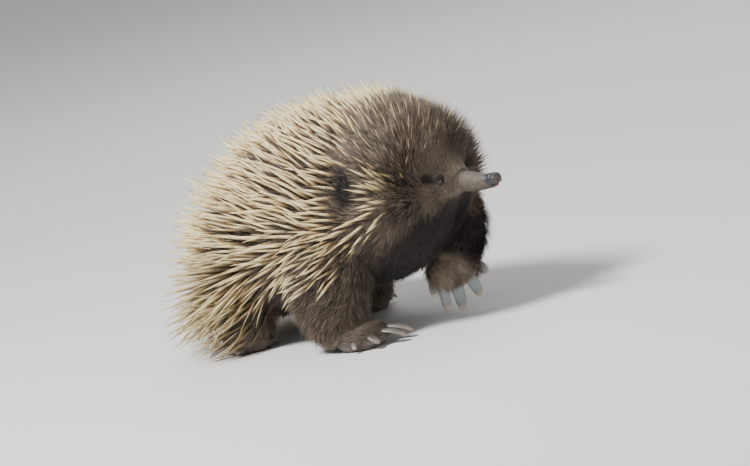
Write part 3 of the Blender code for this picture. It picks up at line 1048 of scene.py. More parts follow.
@dataclass(frozen=True)
class Loft:
    """A shape along the body, with half width, top, widest level and underside at each place."""

    sections: Profile
    tile: Tile
    sweep: Profile | None = None
    droop: float = 0.0
    depth: float = 1.2

    @property
    def rear(self) -> float:
        """Where the shape starts."""
        return self.sections.rows[0][0]

    @property
    def front(self) -> float:
        """Where the shape ends."""
        return self.sections.rows[-1][0]

    def straight(self, x: Array, angle: Array, grow: float = 0.0) -> Array:
        """Points of the shape before the head turns; the angle is 0 on top and grows to the left.

        Args:
            x: Places along the body.
            angle: Radians round from the top line, positive to the left.
            grow: How far outside the shape.

        Returns:
            The points, one a row.
        """
        half, top, wide, bottom = self.sections.at(x).T
        cos = np.cos(angle)
        rise = np.where(cos > 0, top - wide, wide - bottom)
        return np.stack([x, (half + grow) * np.sin(angle), wide + (rise + grow) * cos], axis=-1)

    def points(self, x: Array, angle: Array, grow: float = 0.0) -> Array:
        """Points of the shape."""
        return TURN.points(self.straight(x, angle, grow))

    def axes(self, x: Array, angle: Array) -> tuple[Array, Array, Array, Array]:
        """Point, outward, backward and downward directions at places on the shape.

        Args:
            x: Places along the body.
            angle: Radians round from the top line, positive to the left.

        Returns:
            Four arrays with a row for each place.
        """
        along = self.points(x - 1, angle) - self.points(x + 1, angle)
        around = self.points(x, angle + 0.02) - self.points(x, angle - 0.02)
        out = unit(np.cross(around, along))
        down = unit(around * np.where(angle > 0, 1, -1)[:, None])
        return self.points(x, angle, -self.depth), out, unit(along), down

    def area(self, x: Array, angle: Array) -> Array:
        """Square millimetres of surface for each millimetre along and radian around.

        Args:
            x: Places along the body.
            angle: Radians round from the top line, positive to the left.

        Returns:
            One number for each place.
        """
        along = self.points(x + 0.5, angle) - self.points(x - 0.5, angle)
        around = (self.points(x, angle + 0.01) - self.points(x, angle - 0.01)) / 0.02
        return np.linalg.norm(np.cross(along, around), axis=1)

    def scattered(
        self,
        reach: Pair,
        density: Callable[[Array, Array], Array],
        chance: Chance,
    ) -> Roots:
        """Random roots on the shape.

        Args:
            reach: The stretch of the body that they cover.
            density: Roots for each square millimetre, from the place along and the degrees from the top.
            chance: The source of random numbers.

        Returns:
            The roots, whose lie is backwards with the coat's sweep.
        """

        def weight(x: Array, angle: Array) -> Array:
            """Roots for each millimetre along and radian around."""
            return self.area(x, angle) * density(x, np.degrees(np.abs(angle)))

        grid_x = np.repeat(np.linspace(reach[0] + 0.5, reach[1] - 0.5, 60), 48)
        most = 1.15 * float(weight(grid_x, np.tile(np.linspace(-math.pi, math.pi, 48), 60)).max())
        count = int((reach[1] - reach[0]) * FULL_TURN * most)
        x = chance.uniform(*reach, count)
        angle = chance.uniform(-math.pi, math.pi, count)
        keep = chance.uniform(0, most, count) < weight(x, angle)
        return self.roots(x[keep], angle[keep])

    def roots(self, x: Array, angle: Array) -> Roots:
        """Roots at places on the shape.

        Args:
            x: Places along the body.
            angle: Radians round from the top line, positive to the left.

        Returns:
            The roots, sunk by the depth of the close coat.
        """
        point, out, lie, down = self.axes(x, angle)
        if self.sweep is not None:
            degrees = np.degrees(np.abs(angle))
            droop = self.droop * ease((degrees - 80) / 35) * ease((-100 - x) / 50)
            lie = lie + down * (self.sweep.first(degrees) + droop)[:, None]
        lie = unit(lie - out * dot(lie, out)[:, None])
        unwrap = self.tile.place((x - self.rear) / (self.front - self.rear), angle / FULL_TURN + 0.5)
        return Roots(point, out, lie, unwrap, x, np.degrees(angle))

    def mesh(self) -> Shape:
        """The shape as points and faces, sunk by the depth of the close coat.

        Returns:
            The points and the faces.
        """
        rows, sides = 150, 128
        t = np.linspace(0, 1, rows)
        x = self.rear + (self.front + 1.5 - self.rear) * (1 - np.cos(t * math.pi / 2))
        angle = ring_angles(sides)
        grid = self.points(np.repeat(x, sides), np.tile(angle, rows), -self.depth)
        return tube(grid.reshape(rows, sides, 3))


@dataclass(frozen=True)
class Limb:
    """A leg or the tail: centres with the half width across the body and the half depth along it."""

    name: str
    rows: tuple[tuple[float, float, float, float, float], ...]
    tile: Tile
    sweep: float = 0.35
    depth: float = 1.2

    @property
    def path(self) -> Profile:
        """The rows on an axis from 0 to 1."""
        last = len(self.rows) - 1
        return Profile(tuple((i / last, *row) for i, row in enumerate(self.rows)))

    def axes(self, t: Array, around: Array, grow: float = 0.0) -> tuple[Array, Array, Array]:
        """Point, outward and lengthwise directions at places on the limb.

        Args:
            t: Places from 0 to 1 along it.
            around: Radians round it.
            grow: How far outside it.

        Returns:
            Three arrays with a row for each place.
        """
        path = self.path
        values = path.at(t)
        tangent = unit(path.at(np.minimum(t + 0.02, 1))[:, :3] - path.at(np.maximum(t - 0.02, 0))[:, :3])
        side = np.array([[0.0, 1.0, 0.0]])
        side = unit(side - tangent * dot(np.broadcast_to(side, tangent.shape), tangent)[:, None])
        deep = np.cross(tangent, side)
        wide, long = values[:, 3] + grow, values[:, 4] + grow
        cos, sin = np.cos(around)[:, None], np.sin(around)[:, None]
        point = values[:, :3] + side * wide[:, None] * cos + deep * long[:, None] * sin
        out = unit(side * cos / wide[:, None] + deep * sin / long[:, None])
        return point, out, tangent

    def scattered(self, reach: Pair, density: float, chance: Chance) -> Roots:
        """Random roots on the limb, whose lie is down it and a little backwards.

        Args:
            reach: The stretch that they cover, from 0 to 1.
            density: Roots for each square millimetre.
            chance: The source of random numbers.

        Returns:
            The roots.
        """
        values = self.path.at(np.linspace(*reach, 30))
        round_about = math.pi * (values[:, 3] + values[:, 4])
        steps = np.linalg.norm(np.diff(values[:, :3], axis=0), axis=1)
        most = float(round_about.max())
        count = int(steps.sum() * most * density)
        t = chance.uniform(*reach, count)
        around = chance.uniform(0, FULL_TURN, count)
        here = self.path.at(t)
        keep = chance.uniform(0, most, count) < math.pi * (here[:, 3] + here[:, 4])
        t, around = t[keep], around[keep]
        point, out, tangent = self.axes(t, around, -self.depth)
        lie = tangent + np.array([-self.sweep, 0.0, 0.0])
        lie = unit(lie - out * dot(lie, out)[:, None])
        return Roots(point, out, lie, self.tile.place(around / FULL_TURN, t), t, np.degrees(around))

    def mesh(self) -> Shape:
        """The limb as points and faces.

        Returns:
            The points and the faces.
        """
        rows, sides = 44, 56
        t = np.repeat(np.linspace(0, 1, rows), sides)
        around = np.tile(ring_angles(sides), rows)
        return tube(self.axes(t, around, -self.depth)[0].reshape(rows, sides, 3))


@dataclass(frozen=True)
class Claw:
    """One claw: where it leaves the toe, its tip, its width and its thickness."""

    base: Triple
    tip: Triple
    width: float
    thick: float
    root: float = 6.0
    under: float = 0.62
    hollow: float = 0.35
    arch: float = 0.32
    outline: Profile = Profile((
        (0, 0.80, 0.9), (0.3, 1.0, 1.0), (0.6, 0.97, 0.95), (0.8, 0.84, 0.84), (0.92, 0.6, 0.62),
        (0.98, 0.34, 0.36), (1.0, 0.06, 0.08),
    ))

    def mesh(self, front: Array) -> tuple[Array, list[tuple[int, ...]], Array, Array]:
        """The claw's points and faces.

        Args:
            front: The level direction in which the foot points.

        Returns:
            Points, faces, and how far along and across the claw each point is.
        """
        rows, sides = 34, 28
        base, tip = np.array(self.base), np.array(self.tip)
        heading = unit(tip - base)
        up = UP if abs(heading[2]) < 0.75 else front
        side = unit(np.cross(heading, up))
        over = unit(np.cross(side, heading))
        start = base - heading * self.root
        length = float(np.linalg.norm(tip - start))
        t = np.sin(np.linspace(0, math.pi / 2, rows))
        wide, deep = self.outline.at(t).T
        angle = ring_angles(sides)
        cos, sin = np.cos(angle), np.sin(angle)
        # The upper side is rounded and the lower side flatter, with a shallow hollow along it.
        height = np.where(sin > 0, sin, self.under * sin * (1 - self.hollow * (1 - np.abs(cos)) ** 2))
        spread = np.sign(cos) * np.abs(cos) ** 0.82
        rise = self.arch * length * t * (1 - t)
        centre = start + heading * (length * t)[:, None] + over * rise[:, None]
        rings = (
            centre[:, None]
            + side * (wide * self.width / 2)[:, None, None] * spread[None, :, None]
            + over * (deep * self.thick / 2)[:, None, None] * height[None, :, None]
        )
        points, faces = tube(rings)
        return points, faces, np.repeat(t, sides), np.tile(spread, rows)


@dataclass(frozen=True)
class Foot:
    """A foot: centre of its pad, turn about the upright, half length, width and height, and claws."""

    name: str
    centre: Triple
    yaw: float
    half: Triple
    claws: tuple[Claw, ...]
    tile: Tile

    def front(self) -> Array:
        """The level direction in which the foot points."""
        turn = math.radians(self.yaw)
        return np.array([math.cos(turn), math.sin(turn), 0.0])

    def shapes(self) -> list[Shape]:
        """The pad and the toes as closed ovals, each toe with a knuckle and a pad under its claw.

        Returns:
            The points and faces of each.
        """
        front = self.front()
        side = np.array([-front[1], front[0], 0.0])
        centre = np.array(self.centre)
        ovals = [oval(centre, (front, side, UP), self.half)]
        for claw in self.claws:
            base, tip = np.array(claw.base), np.array(claw.tip)
            heading = unit(tip - base)
            start = centre + (base - centre) * 0.45
            end = base + heading * 1.5
            along = unit(end - start)
            across = unit(np.cross(along, UP))
            above = np.cross(across, along)
            size = (float(np.linalg.norm(end - start)) * 0.5, claw.width * 0.5 + 2, claw.thick * 0.5 + 3)
            ovals.append(oval((start + end) / 2, (along, across, above), size))
            knuckle = start + (end - start) * 0.62 + above * 0.8
            ovals.append(oval(knuckle, (along, across, above), (4.5, claw.width * 0.5 + 1.6, size[2] - 0.2)))
            pad = end - along * 3.2 - above * 1.0
            ovals.append(oval(pad, (along, across, above), (4.2, claw.width * 0.5 + 1.0, size[2] - 0.8)))
        return ovals


def oval(centre: Array, axes: Sequence[Array], half: Sequence[float]) -> Shape:
    """An ellipsoid as points and faces, with its half sizes along three directions.

    Args:
        centre: Its middle.
        axes: The three directions.
        half: The half size along each.

    Returns:
        The points and the faces.
    """
    rows, sides = 22, 26
    t = np.linspace(0.02, math.pi - 0.02, rows)
    angle = ring_angles(sides)
    grid = np.stack([
        np.repeat(np.cos(t), sides),
        (np.sin(t)[:, None] * np.cos(angle)).ravel(),
        (np.sin(t)[:, None] * np.sin(angle)).ravel(),
    ], axis=-1) * np.array(half)
    points = centre + grid @ np.array([unit(np.array(axis)) for axis in axes])
    return tube(points.reshape(rows, sides, 3))


TRUNK = Loft(
    Profile((
        (-204, 6, 67, 57, 47),
        (-199, 38, 94, 60, 34),
        (-187, 60, 121, 66, 26),
        (-164, 77, 153, 75, 24),
        (-132, 88, 184, 86, 27),
        (-95, 94, 206, 97, 33),
        (-55, 96, 219, 104, 42),
        (-15, 95, 226, 110, 47),
        (25, 89, 228, 117, 54),
        (55, 81, 224, 124, 64),
        (80, 72, 214, 131, 79),
        (100, 57, 197, 137, 98),
        (112, 41, 179, 141, 113),
        (122, 26, 164, 142, 123),
        (130, 15.5, 155, 141.5, 129),
        (133.5, 11.8, 152.5, 141, 130),
    )),
    Tile(0.02, 0.40, 0.96, 0.58),
    sweep=Profile((
        (0, -0.1), (25, -0.5), (70, -0.55), (85, -0.4), (95, -0.1), (106, 0.25), (125, 0.5), (180, 0.6),
    )),
    droop=0.5,
)
BEAK = Loft(
    Profile((
        (127, 10.8, 151.6, 141, 130.2),
        (133.5, 10.6, 151.2, 141, 130.2),
        (142, 9.6, 149.7, 140.2, 129.6),
        (152, 8.2, 147.2, 139.4, 129.2),
        (160, 7.2, 145.6, 139.0, 129.8),
        (166, 7.1, 145.8, 139.0, 130.6),
        (171, 7.1, 146.2, 139, 131.4),
        (174.4, 6.1, 145.2, 139, 132.8),
        (176.4, 3.9, 142.9, 139, 135.0),
        (177.2, 0.4, 139.4, 139, 138.6),
    )),
    Tile(0.02, 0.20, 0.05, 0.01),
)
# Degrees round from the top line where the spines end, along the body.
SPINE_EDGE = Profile((
    (-204, 164), (-150, 152), (-95, 124), (0, 113), (40, 112), (66, 107), (90, 92), (103, 66), (112, 26),
))

RIGHT_FORELEG = Limb(
    "right_foreleg",
    (
        (8, -52, 128, 28, 40),
        (6, -72, 98, 32, 44),
        (6, -84, 66, 33, 43),
        (9, -88, 42, 29, 37),
        (16, -88, 26, 24, 29),
        (22, -87, 14, 20, 23),
    ),
    Tile(0.02, 0.22, 0.22, 0.16),
    sweep=0.85,
)
LEFT_FORELEG = Limb(
    "left_foreleg",
    (
        (30, 46, 132, 28, 38),
        (48, 58, 108, 30, 38),
        (63, 56, 86, 29, 30),
        (69, 44, 68, 26, 22),
        (68, 35, 55, 23, 16),
    ),
    Tile(0.26, 0.22, 0.22, 0.16),
)
RIGHT_HINDLEG = Limb(
    "right_hindleg",
    (
        (-128, -40, 90, 26, 36),
        (-130, -56, 64, 27, 33),
        (-134, -65, 42, 24, 28),
        (-137, -68, 24, 20, 23),
        (-138, -69, 13, 17, 19),
    ),
    Tile(0.50, 0.22, 0.22, 0.16),
)
LEFT_HINDLEG = Limb(
    "left_hindleg",
    (
        (-84, 40, 92, 26, 36),
        (-86, 56, 64, 27, 33),
        (-92, 67, 42, 24, 28),
        (-96, 71, 24, 20, 23),
        (-97, 72, 13, 17, 19),
    ),
    Tile(0.74, 0.22, 0.22, 0.16),
)
TAIL = Limb(
    "tail",
    (
        (-176, 0, 58, 15, 13),
        (-190, 0, 50, 13, 11),
        (-203, 0, 42, 9, 8),
        (-211, 0, 37, 3, 3),
    ),
    Tile(0.82, 0.02, 0.14, 0.16),
)
LEGS = (RIGHT_FORELEG, LEFT_FORELEG, RIGHT_HINDLEG, LEFT_HINDLEG)

FEET = (
    Foot(
        "right_forefoot", (36, -86, 10), 20, (28, 23, 14),
        (
            Claw((44, -63, 10), (54, -56, 5), 6, 4),
            Claw((52, -67, 14), (79, -55, 7), 10, 5.5),
            Claw((60, -80, 13), (83, -70, 6), 11, 5.5),
            Claw((60, -97, 11.5), (70, -98, 6.5), 10, 5),
            Claw((44, -106, 9), (50, -113, 5), 6, 4),
        ),
        Tile(0.02, 0.02, 0.18, 0.16),
    ),
    Foot(
        "left_forefoot", (66, 31, 47), -30, (13, 26, 18),
        (
            Claw((57, 7, 38), (58, 5, 25), 6, 4),
            Claw((62, 16, 35), (64, 15, 7), 11, 5.5),
            Claw((69, 29, 35), (71, 30, 4), 13, 6),
            Claw((77, 41, 37), (82, 49, 13), 12, 5.5),
            Claw((83, 54, 44), (88, 61, 33), 8, 4.5),
        ),
        Tile(0.22, 0.02, 0.18, 0.16),
    ),
    Foot(
        "right_hindfoot", (-138, -70, 9), -135, (24, 19, 13),
        (
            Claw((-133, -92, 8), (-131, -100, 4), 6, 4),
            Claw((-145, -91, 10), (-161, -110, 5), 7, 5),
            Claw((-156, -84, 9), (-171, -96, 5), 7, 5),
            Claw((-161, -75, 8), (-174, -80, 5), 6, 4),
            Claw((-161, -66, 8), (-170, -66, 5), 5, 4),
        ),
        Tile(0.42, 0.02, 0.18, 0.16),
    ),
    Foot(
        "left_hindfoot", (-98, 74, 9), 135, (24, 19, 13),
        (
            Claw((-93, 96, 8), (-91, 104, 4), 6, 4),
            Claw((-105, 95, 10), (-121, 114, 5), 7, 5),
            Claw((-116, 88, 9), (-131, 100, 5), 7, 5),
            Claw((-121, 79, 8), (-134, 84, 5), 6, 4),
            Claw((-121, 70, 8), (-130, 70, 5), 5, 4),
        ),
        Tile(0.62, 0.02, 0.18, 0.16),
    ),
)


@dataclass(frozen=True)
class EyeSeat:
    """Where an eye sits in the head, on one side."""

    side: Side
    place: Triple = (118.4, 20.5, 148)
    radius: float = 4.4
    gaze_degrees: float = 78
    ring_offset: Pair = (-1.6, -0.7)

    @property
    def centre(self) -> Array:
        """The middle of the eyeball."""
        x, y, z = self.place
        return TURN.points(np.array([x, self.side.value * y, z], dtype=float))

    @property
    def ring_centre(self) -> Array:
        """The middle of the bare ring, a little behind and below the eyeball's."""
        level, up, _ = self.axes
        return self.centre + self.ring_offset[0] * level + self.ring_offset[1] * up

    @property
    def axes(self) -> tuple[Array, Array, Array]:
        """The directions forwards along the slit, up, and out of the head.

        Returns:
            Three unit vectors.
        """
        angle = np.array([self.side.value * math.radians(self.gaze_degrees)])
        out = TRUNK.axes(np.array([self.place[0]]), angle)[1][0]
        level = unit(np.cross(out, UP)) * self.side.value
        up = unit(np.cross(level, out)) * -self.side.value
        up = up if up[2] > 0 else -up
        return level, up, out


@dataclass(frozen=True)
class EarSeat:
    """Where an ear opens in the side of the head, and the size of its cup."""

    side: Side
    along: float = 53
    degrees: float = 68
    long: float = 8
    tall: float = 13
    deep: float = 7.5
    reach: float = 26

    @property
    def axes(self) -> tuple[Array, Array, Array, Array]:
        """The middle of the opening with the outward, backward and downward directions."""
        angle = np.array([self.side.value * math.radians(self.degrees)])
        return tuple(part[0] for part in TRUNK.axes(np.array([float(self.along)]), angle))

    def away(self, points: Array, shift: Pair = (0, 0), spread: Pair = (0, 0)) -> tuple[Array, Array]:
        """How far places lie from the middle of the opening.

        Args:
            points: Places in the body's frame, one a row.
            shift: How far forwards and up the oval's middle is moved.
            spread: What is added to its half sizes.

        Returns:
            The distances in the oval's half sizes, and in millimetres.
        """
        centre, _, back, down = self.axes
        offset = points - centre
        behind, below = offset @ back + shift[0], offset @ down + shift[1]
        long, tall = self.long + spread[0], self.tall + spread[1]
        return np.sqrt((behind / long) ** 2 + (below / tall) ** 2), np.linalg.norm(offset, axis=1)


EYES = (EyeSeat(Side.RIGHT), EyeSeat(Side.LEFT))
EARS = (EarSeat(Side.RIGHT), EarSeat(Side.LEFT))


@dataclass(frozen=True)
class Markings:
    """Where skin and coat are paler or darker, the same for both; the dark behind the eyes and round the ears
    is painted shade, the dark underside mostly painted shade, and the raised left forefoot's extra pale
    partly painted light.
    """

    pale_from: float = 107
    pale_to: float = 128
    eye_ring: float = 6.5
    # The hollow behind each eye, darkened with painted shade.
    recess_back: float = 11.5
    # The line along the jaw under which painted shade darkens throat, chest and belly, its rise on the left
    # cheek that the turned head shades, and its depth.
    jaw_from: float = 64
    jaw_level: float = 92
    jaw_slope: float = 0.72
    jaw_top: float = 136
    shaded_cheek_rise: float = 9
    underside_painted_shade_depth: float = 0.95
    snout_side: float = 131.2
    snout_level: float = 141
    snout_half: float = 11
    snout_slant: Pair = (1.2, 2.8)
    # The size, height, darkness and reach of the painted shade behind each eye.
    recess_size: Pair = (8.5, 5.4)
    recess_up: float = 0.8
    recess_depth: float = 0.9
    recess_reach: float = 26
    # The gap round each ear, darkened with painted shade.
    ear_shift: Pair = (8, -4)
    ear_spread: Pair = (7, 5)
    ear_reach: float = 34
    paw_spread: float = 14
    bare_spread: float = 16
    # Each foot's share of the pale tan; the raised left forefoot's fuller share is partly painted light
    # falling on it.
    paw_shares: tuple[float, ...] = (0.6, 1.0, 0.5, 0.5)

    def pale(self, points: Array) -> Array:
        """The tan of the face round the root of the beak, from 0 to 1."""
        pale = ease((points[:, 0] - self.pale_from) / (self.pale_to - self.pale_from))
        return np.clip(np.maximum(pale, self.paws(points)) * (0.85 + 0.25 * drift(points, 14, 5)), 0, 1)

    def past_fur(self, points: Array) -> Array:
        """How far in front of the fur's slanting edge at the root of the beak each point lies.

        Args:
            points: Places in the body's frame, one a row.

        Returns:
            Millimetres in front of the edge, negative behind it.
        """
        under, over = self.snout_slant
        rise = np.clip((points[:, 2] - self.snout_level) / self.snout_half, -1, 1)
        return points[:, 0] - self.snout_side - rise * np.where(rise > 0, over, under)

    def snout(self, points: Array) -> Array:
        """The bare skin in front of the fur's edge, from 0 to 1."""
        return ease((self.past_fur(points) + 2) / 3)

    def shade(self, points: Array) -> Array:
        """Painted shade in the hollow behind each eye and in the gap round each ear, from 0 to 1.

        Args:
            points: Places in the body's frame, one a row.

        Returns:
            One number for each point.
        """
        dark = np.zeros(len(points))
        long, tall = self.recess_size
        for seat in EYES:
            level, up, _ = seat.axes
            offset = points - seat.centre
            ahead, above = offset @ level, offset @ up
            away = np.sqrt(((ahead + self.recess_back) / long) ** 2 + ((above - self.recess_up) / tall) ** 2)
            near = np.linalg.norm(offset, axis=1) < self.recess_reach
            dark = np.maximum(dark, self.recess_depth * (1 - ease((away - 0.45) / 0.7)) * near)
        for seat in EARS:
            away, distance = seat.away(points, self.ear_shift, self.ear_spread)
            dark = np.maximum(dark, (1 - ease((away - 0.75) / 0.4)) * (distance < self.ear_reach))
        return dark

    def underside_painted_shade(self, points: Array) -> Array:
        """The darker hair of throat, chest and belly, from 0 to 1: partly the fur's own dark, mostly painted
        shade, which rises higher on the left cheek that the turned head shades.

        Args:
            points: Places in the body's frame, one a row.

        Returns:
            One number for each point.
        """
        x, y, z = points.T
        middle = TURN.points(points * np.array([1.0, 0.0, 1.0]))[:, 1]
        # Painted shade under the jaw line, higher on the shaded left cheek.
        shade_line = np.minimum(self.jaw_level + self.jaw_slope * (x - self.jaw_from), self.jaw_top)
        shade_line = shade_line + self.shaded_cheek_rise * ease((y - middle + 7) / 9) * ease((x - 96) / 12)
        dark = ease((shade_line + 2.5 * drift(points, 20, 6) - z) / 7)
        inner = 1 - ease((np.abs(y) - 60) / 18) * ease((56 - x) / 12)
        return self.underside_painted_shade_depth * dark * inner * (1 - self.paws(points))

    def paws(self, points: Array) -> Array:
        """How much a place belongs to a foot, more to the front ones and most to the raised left forefoot,
        whose paler hair is partly painted light, from 0 to 1.

        Args:
            points: Places in the body's frame, one a row.

        Returns:
            One number for each point.
        """
        share = np.zeros(len(points))
        for foot, weight in zip(FEET, self.paw_shares):
            half = np.array(foot.half) + self.paw_spread
            away = np.linalg.norm((points - np.array(foot.centre)) / half, axis=1)
            share = np.maximum(share, weight * (1 - ease((away - 0.6) / 0.55)))
        return share

    def bare(self, points: Array) -> Array:
        """Hairless skin: soles, toes and the ring round each eye, from 0 to 1.

        Args:
            points: Places in the body's frame, one a row.

        Returns:
            One number for each point.
        """
        bare = np.zeros(len(points))
        for seat in EYES:
            away = np.linalg.norm(points - seat.centre, axis=1)
            bare = np.maximum(bare, 1 - ease((away - self.eye_ring) / 2.5))
        for foot in FEET:
            offset = points - np.array(foot.centre)
            inside = np.linalg.norm(offset / (np.array(foot.half) + self.bare_spread), axis=1) < 1
            reach = offset @ foot.front()
            toes = ease((reach - foot.half[0] * 0.1) / 6) * inside
            soles = (1 - ease((points[:, 2] - 4) / 5)) * inside
            bare = np.maximum(bare, np.maximum(toes, soles))
        return bare


MARKINGS = Markings()


@dataclass
class Hide:
    """The one skin of trunk, head, ears, legs, feet and tail."""

    frame: Frame
    voxel: float = 1.8
    smoothing: int = 4
    ear_rim: float = 2.2
    socket_depth: float = 3.5
    name: str = "skin"
    tree: BVHTree | None = field(default=None, repr=False)
    points: Array | None = field(default=None, repr=False)
    normals: Array | None = field(default=None, repr=False)

    def build(self) -> Piece:
        """Unites the parts into one closed surface, and shapes ears, sockets and soles on it.

        Returns:
            The skin, without its finish.
        """
        shapes = [TRUNK.mesh(), TAIL.mesh(), *(leg.mesh() for leg in LEGS)]
        for foot in FEET:
            shapes += foot.shapes()
        points, faces, count = [], [], 0
        for shape_points, shape_faces in shapes:
            faces += [tuple(count + k for k in face) for face in shape_faces]
            points.append(shape_points)
            count += len(shape_points)
        obj = mesh_object(self.name, np.concatenate(points), faces, self.frame)
        remesh = obj.modifiers.new("unite", "REMESH")
        remesh.mode = "VOXEL"
        remesh.voxel_size = self.voxel * MM
        smooth = obj.modifiers.new("soften", "SMOOTH")
        smooth.factor = 0.5
        smooth.iterations = self.smoothing
        settle(obj)
        self._shape(obj.data)
        return obj

    def _shape(self, mesh: bpy.types.Mesh) -> None:
        """Presses in the ear cups and eye sockets, adds creases, and flattens the soles.

        Args:
            mesh: The united surface.
        """
        offset = np.array([self.frame.shift[0], self.frame.shift[1], 0.0])
        points = rows_of(mesh.vertices, "co") / MM - offset
        normals = rows_of(mesh.vertex_normals, "vector")
        for seat in EARS:
            away, distance = seat.away(points)
            push = seat.deep * (1 - ease((away - 0.3) / 0.7)) - self.ear_rim * bell(away - 1.12, 0.2)
            points -= seat.axes[1] * (push * (distance < seat.reach))[:, None]
        for seat in EYES:
            _, _, out = seat.axes
            from_eye = points - seat.centre
            beside = from_eye - out * (from_eye @ out)[:, None]
            away = np.linalg.norm(beside, axis=1)
            near = np.linalg.norm(from_eye, axis=1) < 14
            points -= out * (self.socket_depth * (1 - ease((away - 3.6) / 2.6)) * near)[:, None]
        bare = MARKINGS.bare(points)
        crease = drift(points * np.array([1, 1, 1.6]), 3.4, 31) * 0.22 + drift(points, 9, 32) * 0.3
        points += normals * (crease * bare)[:, None]
        low = points[:, 2] < 1.0
        points[low, 2] = 0.0
        set_points(mesh, self.frame.metres(points))
        for marking in (MARKINGS.bare, MARKINGS.snout, MARKINGS.shade, MARKINGS.pale):
            set_numbers(mesh, marking.__name__, marking(points))
        self.points, self.normals = points, rows_of(mesh.vertex_normals, "vector")
        faces = [tuple(face.vertices) for face in mesh.polygons]
        self.tree = BVHTree.FromPolygons(points.tolist(), faces)

    def held(self, roots: Roots, reach: float = 3.2) -> Roots:
        """The roots that lie on this skin, moved onto it; those inside another part are dropped.

        Args:
            roots: Roots near the skin.
            reach: How far off they may be.

        Returns:
            The roots that are left.
        """
        assert self.tree is not None
        spots, outs, keep = [], [], []
        for point in roots.point.tolist():
            spot, out, _, _ = self.tree.find_nearest(point, reach)
            keep.append(spot is not None)
            if spot is not None:
                spots.append(tuple(spot))
                outs.append(tuple(out))
        kept = roots.chosen(np.array(keep))
        kept.point = np.array(spots)
        turned = dot(np.array(outs), kept.out)
        kept.out = unit(kept.out * 0.4 + np.array(outs) * 0.6)
        kept.lie = unit(kept.lie - kept.out * dot(kept.lie, kept.out)[:, None])
        return kept.chosen(turned > 0.25)


@dataclass(frozen=True)
class LegSpines:
    """The part of a leg that the flank's lowest spines grow on, where they thin out downwards.

    End is how far down the leg they reach, forward is how much a root's skin may face the front, and shade is
    the painted shade on the spines, deepest on the hind legs under the body.
    """

    limb: Limb
    side: Side
    end: float
    density: float
    length: float
    shade: float
    forward: float
    lie: Triple


# The hind legs' spines take deeper painted shade, under the body.
LEG_SPINES = (
    LegSpines(RIGHT_FORELEG, Side.RIGHT, 0.42, 0.050, 38, 0.12, 0.75, (-0.78, -0.1, -0.62)),
    LegSpines(LEFT_FORELEG, Side.LEFT, 0.34, 0.040, 34, 0.12, 0.1, (-0.78, 0.1, -0.62)),
    LegSpines(RIGHT_HINDLEG, Side.RIGHT, 1.0, 0.130, 74, 0.55, 0.75, (-0.90, -0.30, -0.40)),
    LegSpines(LEFT_HINDLEG, Side.LEFT, 0.75, 0.090, 64, 0.55, 0.1, (-0.90, 0.30, -0.40)),
)


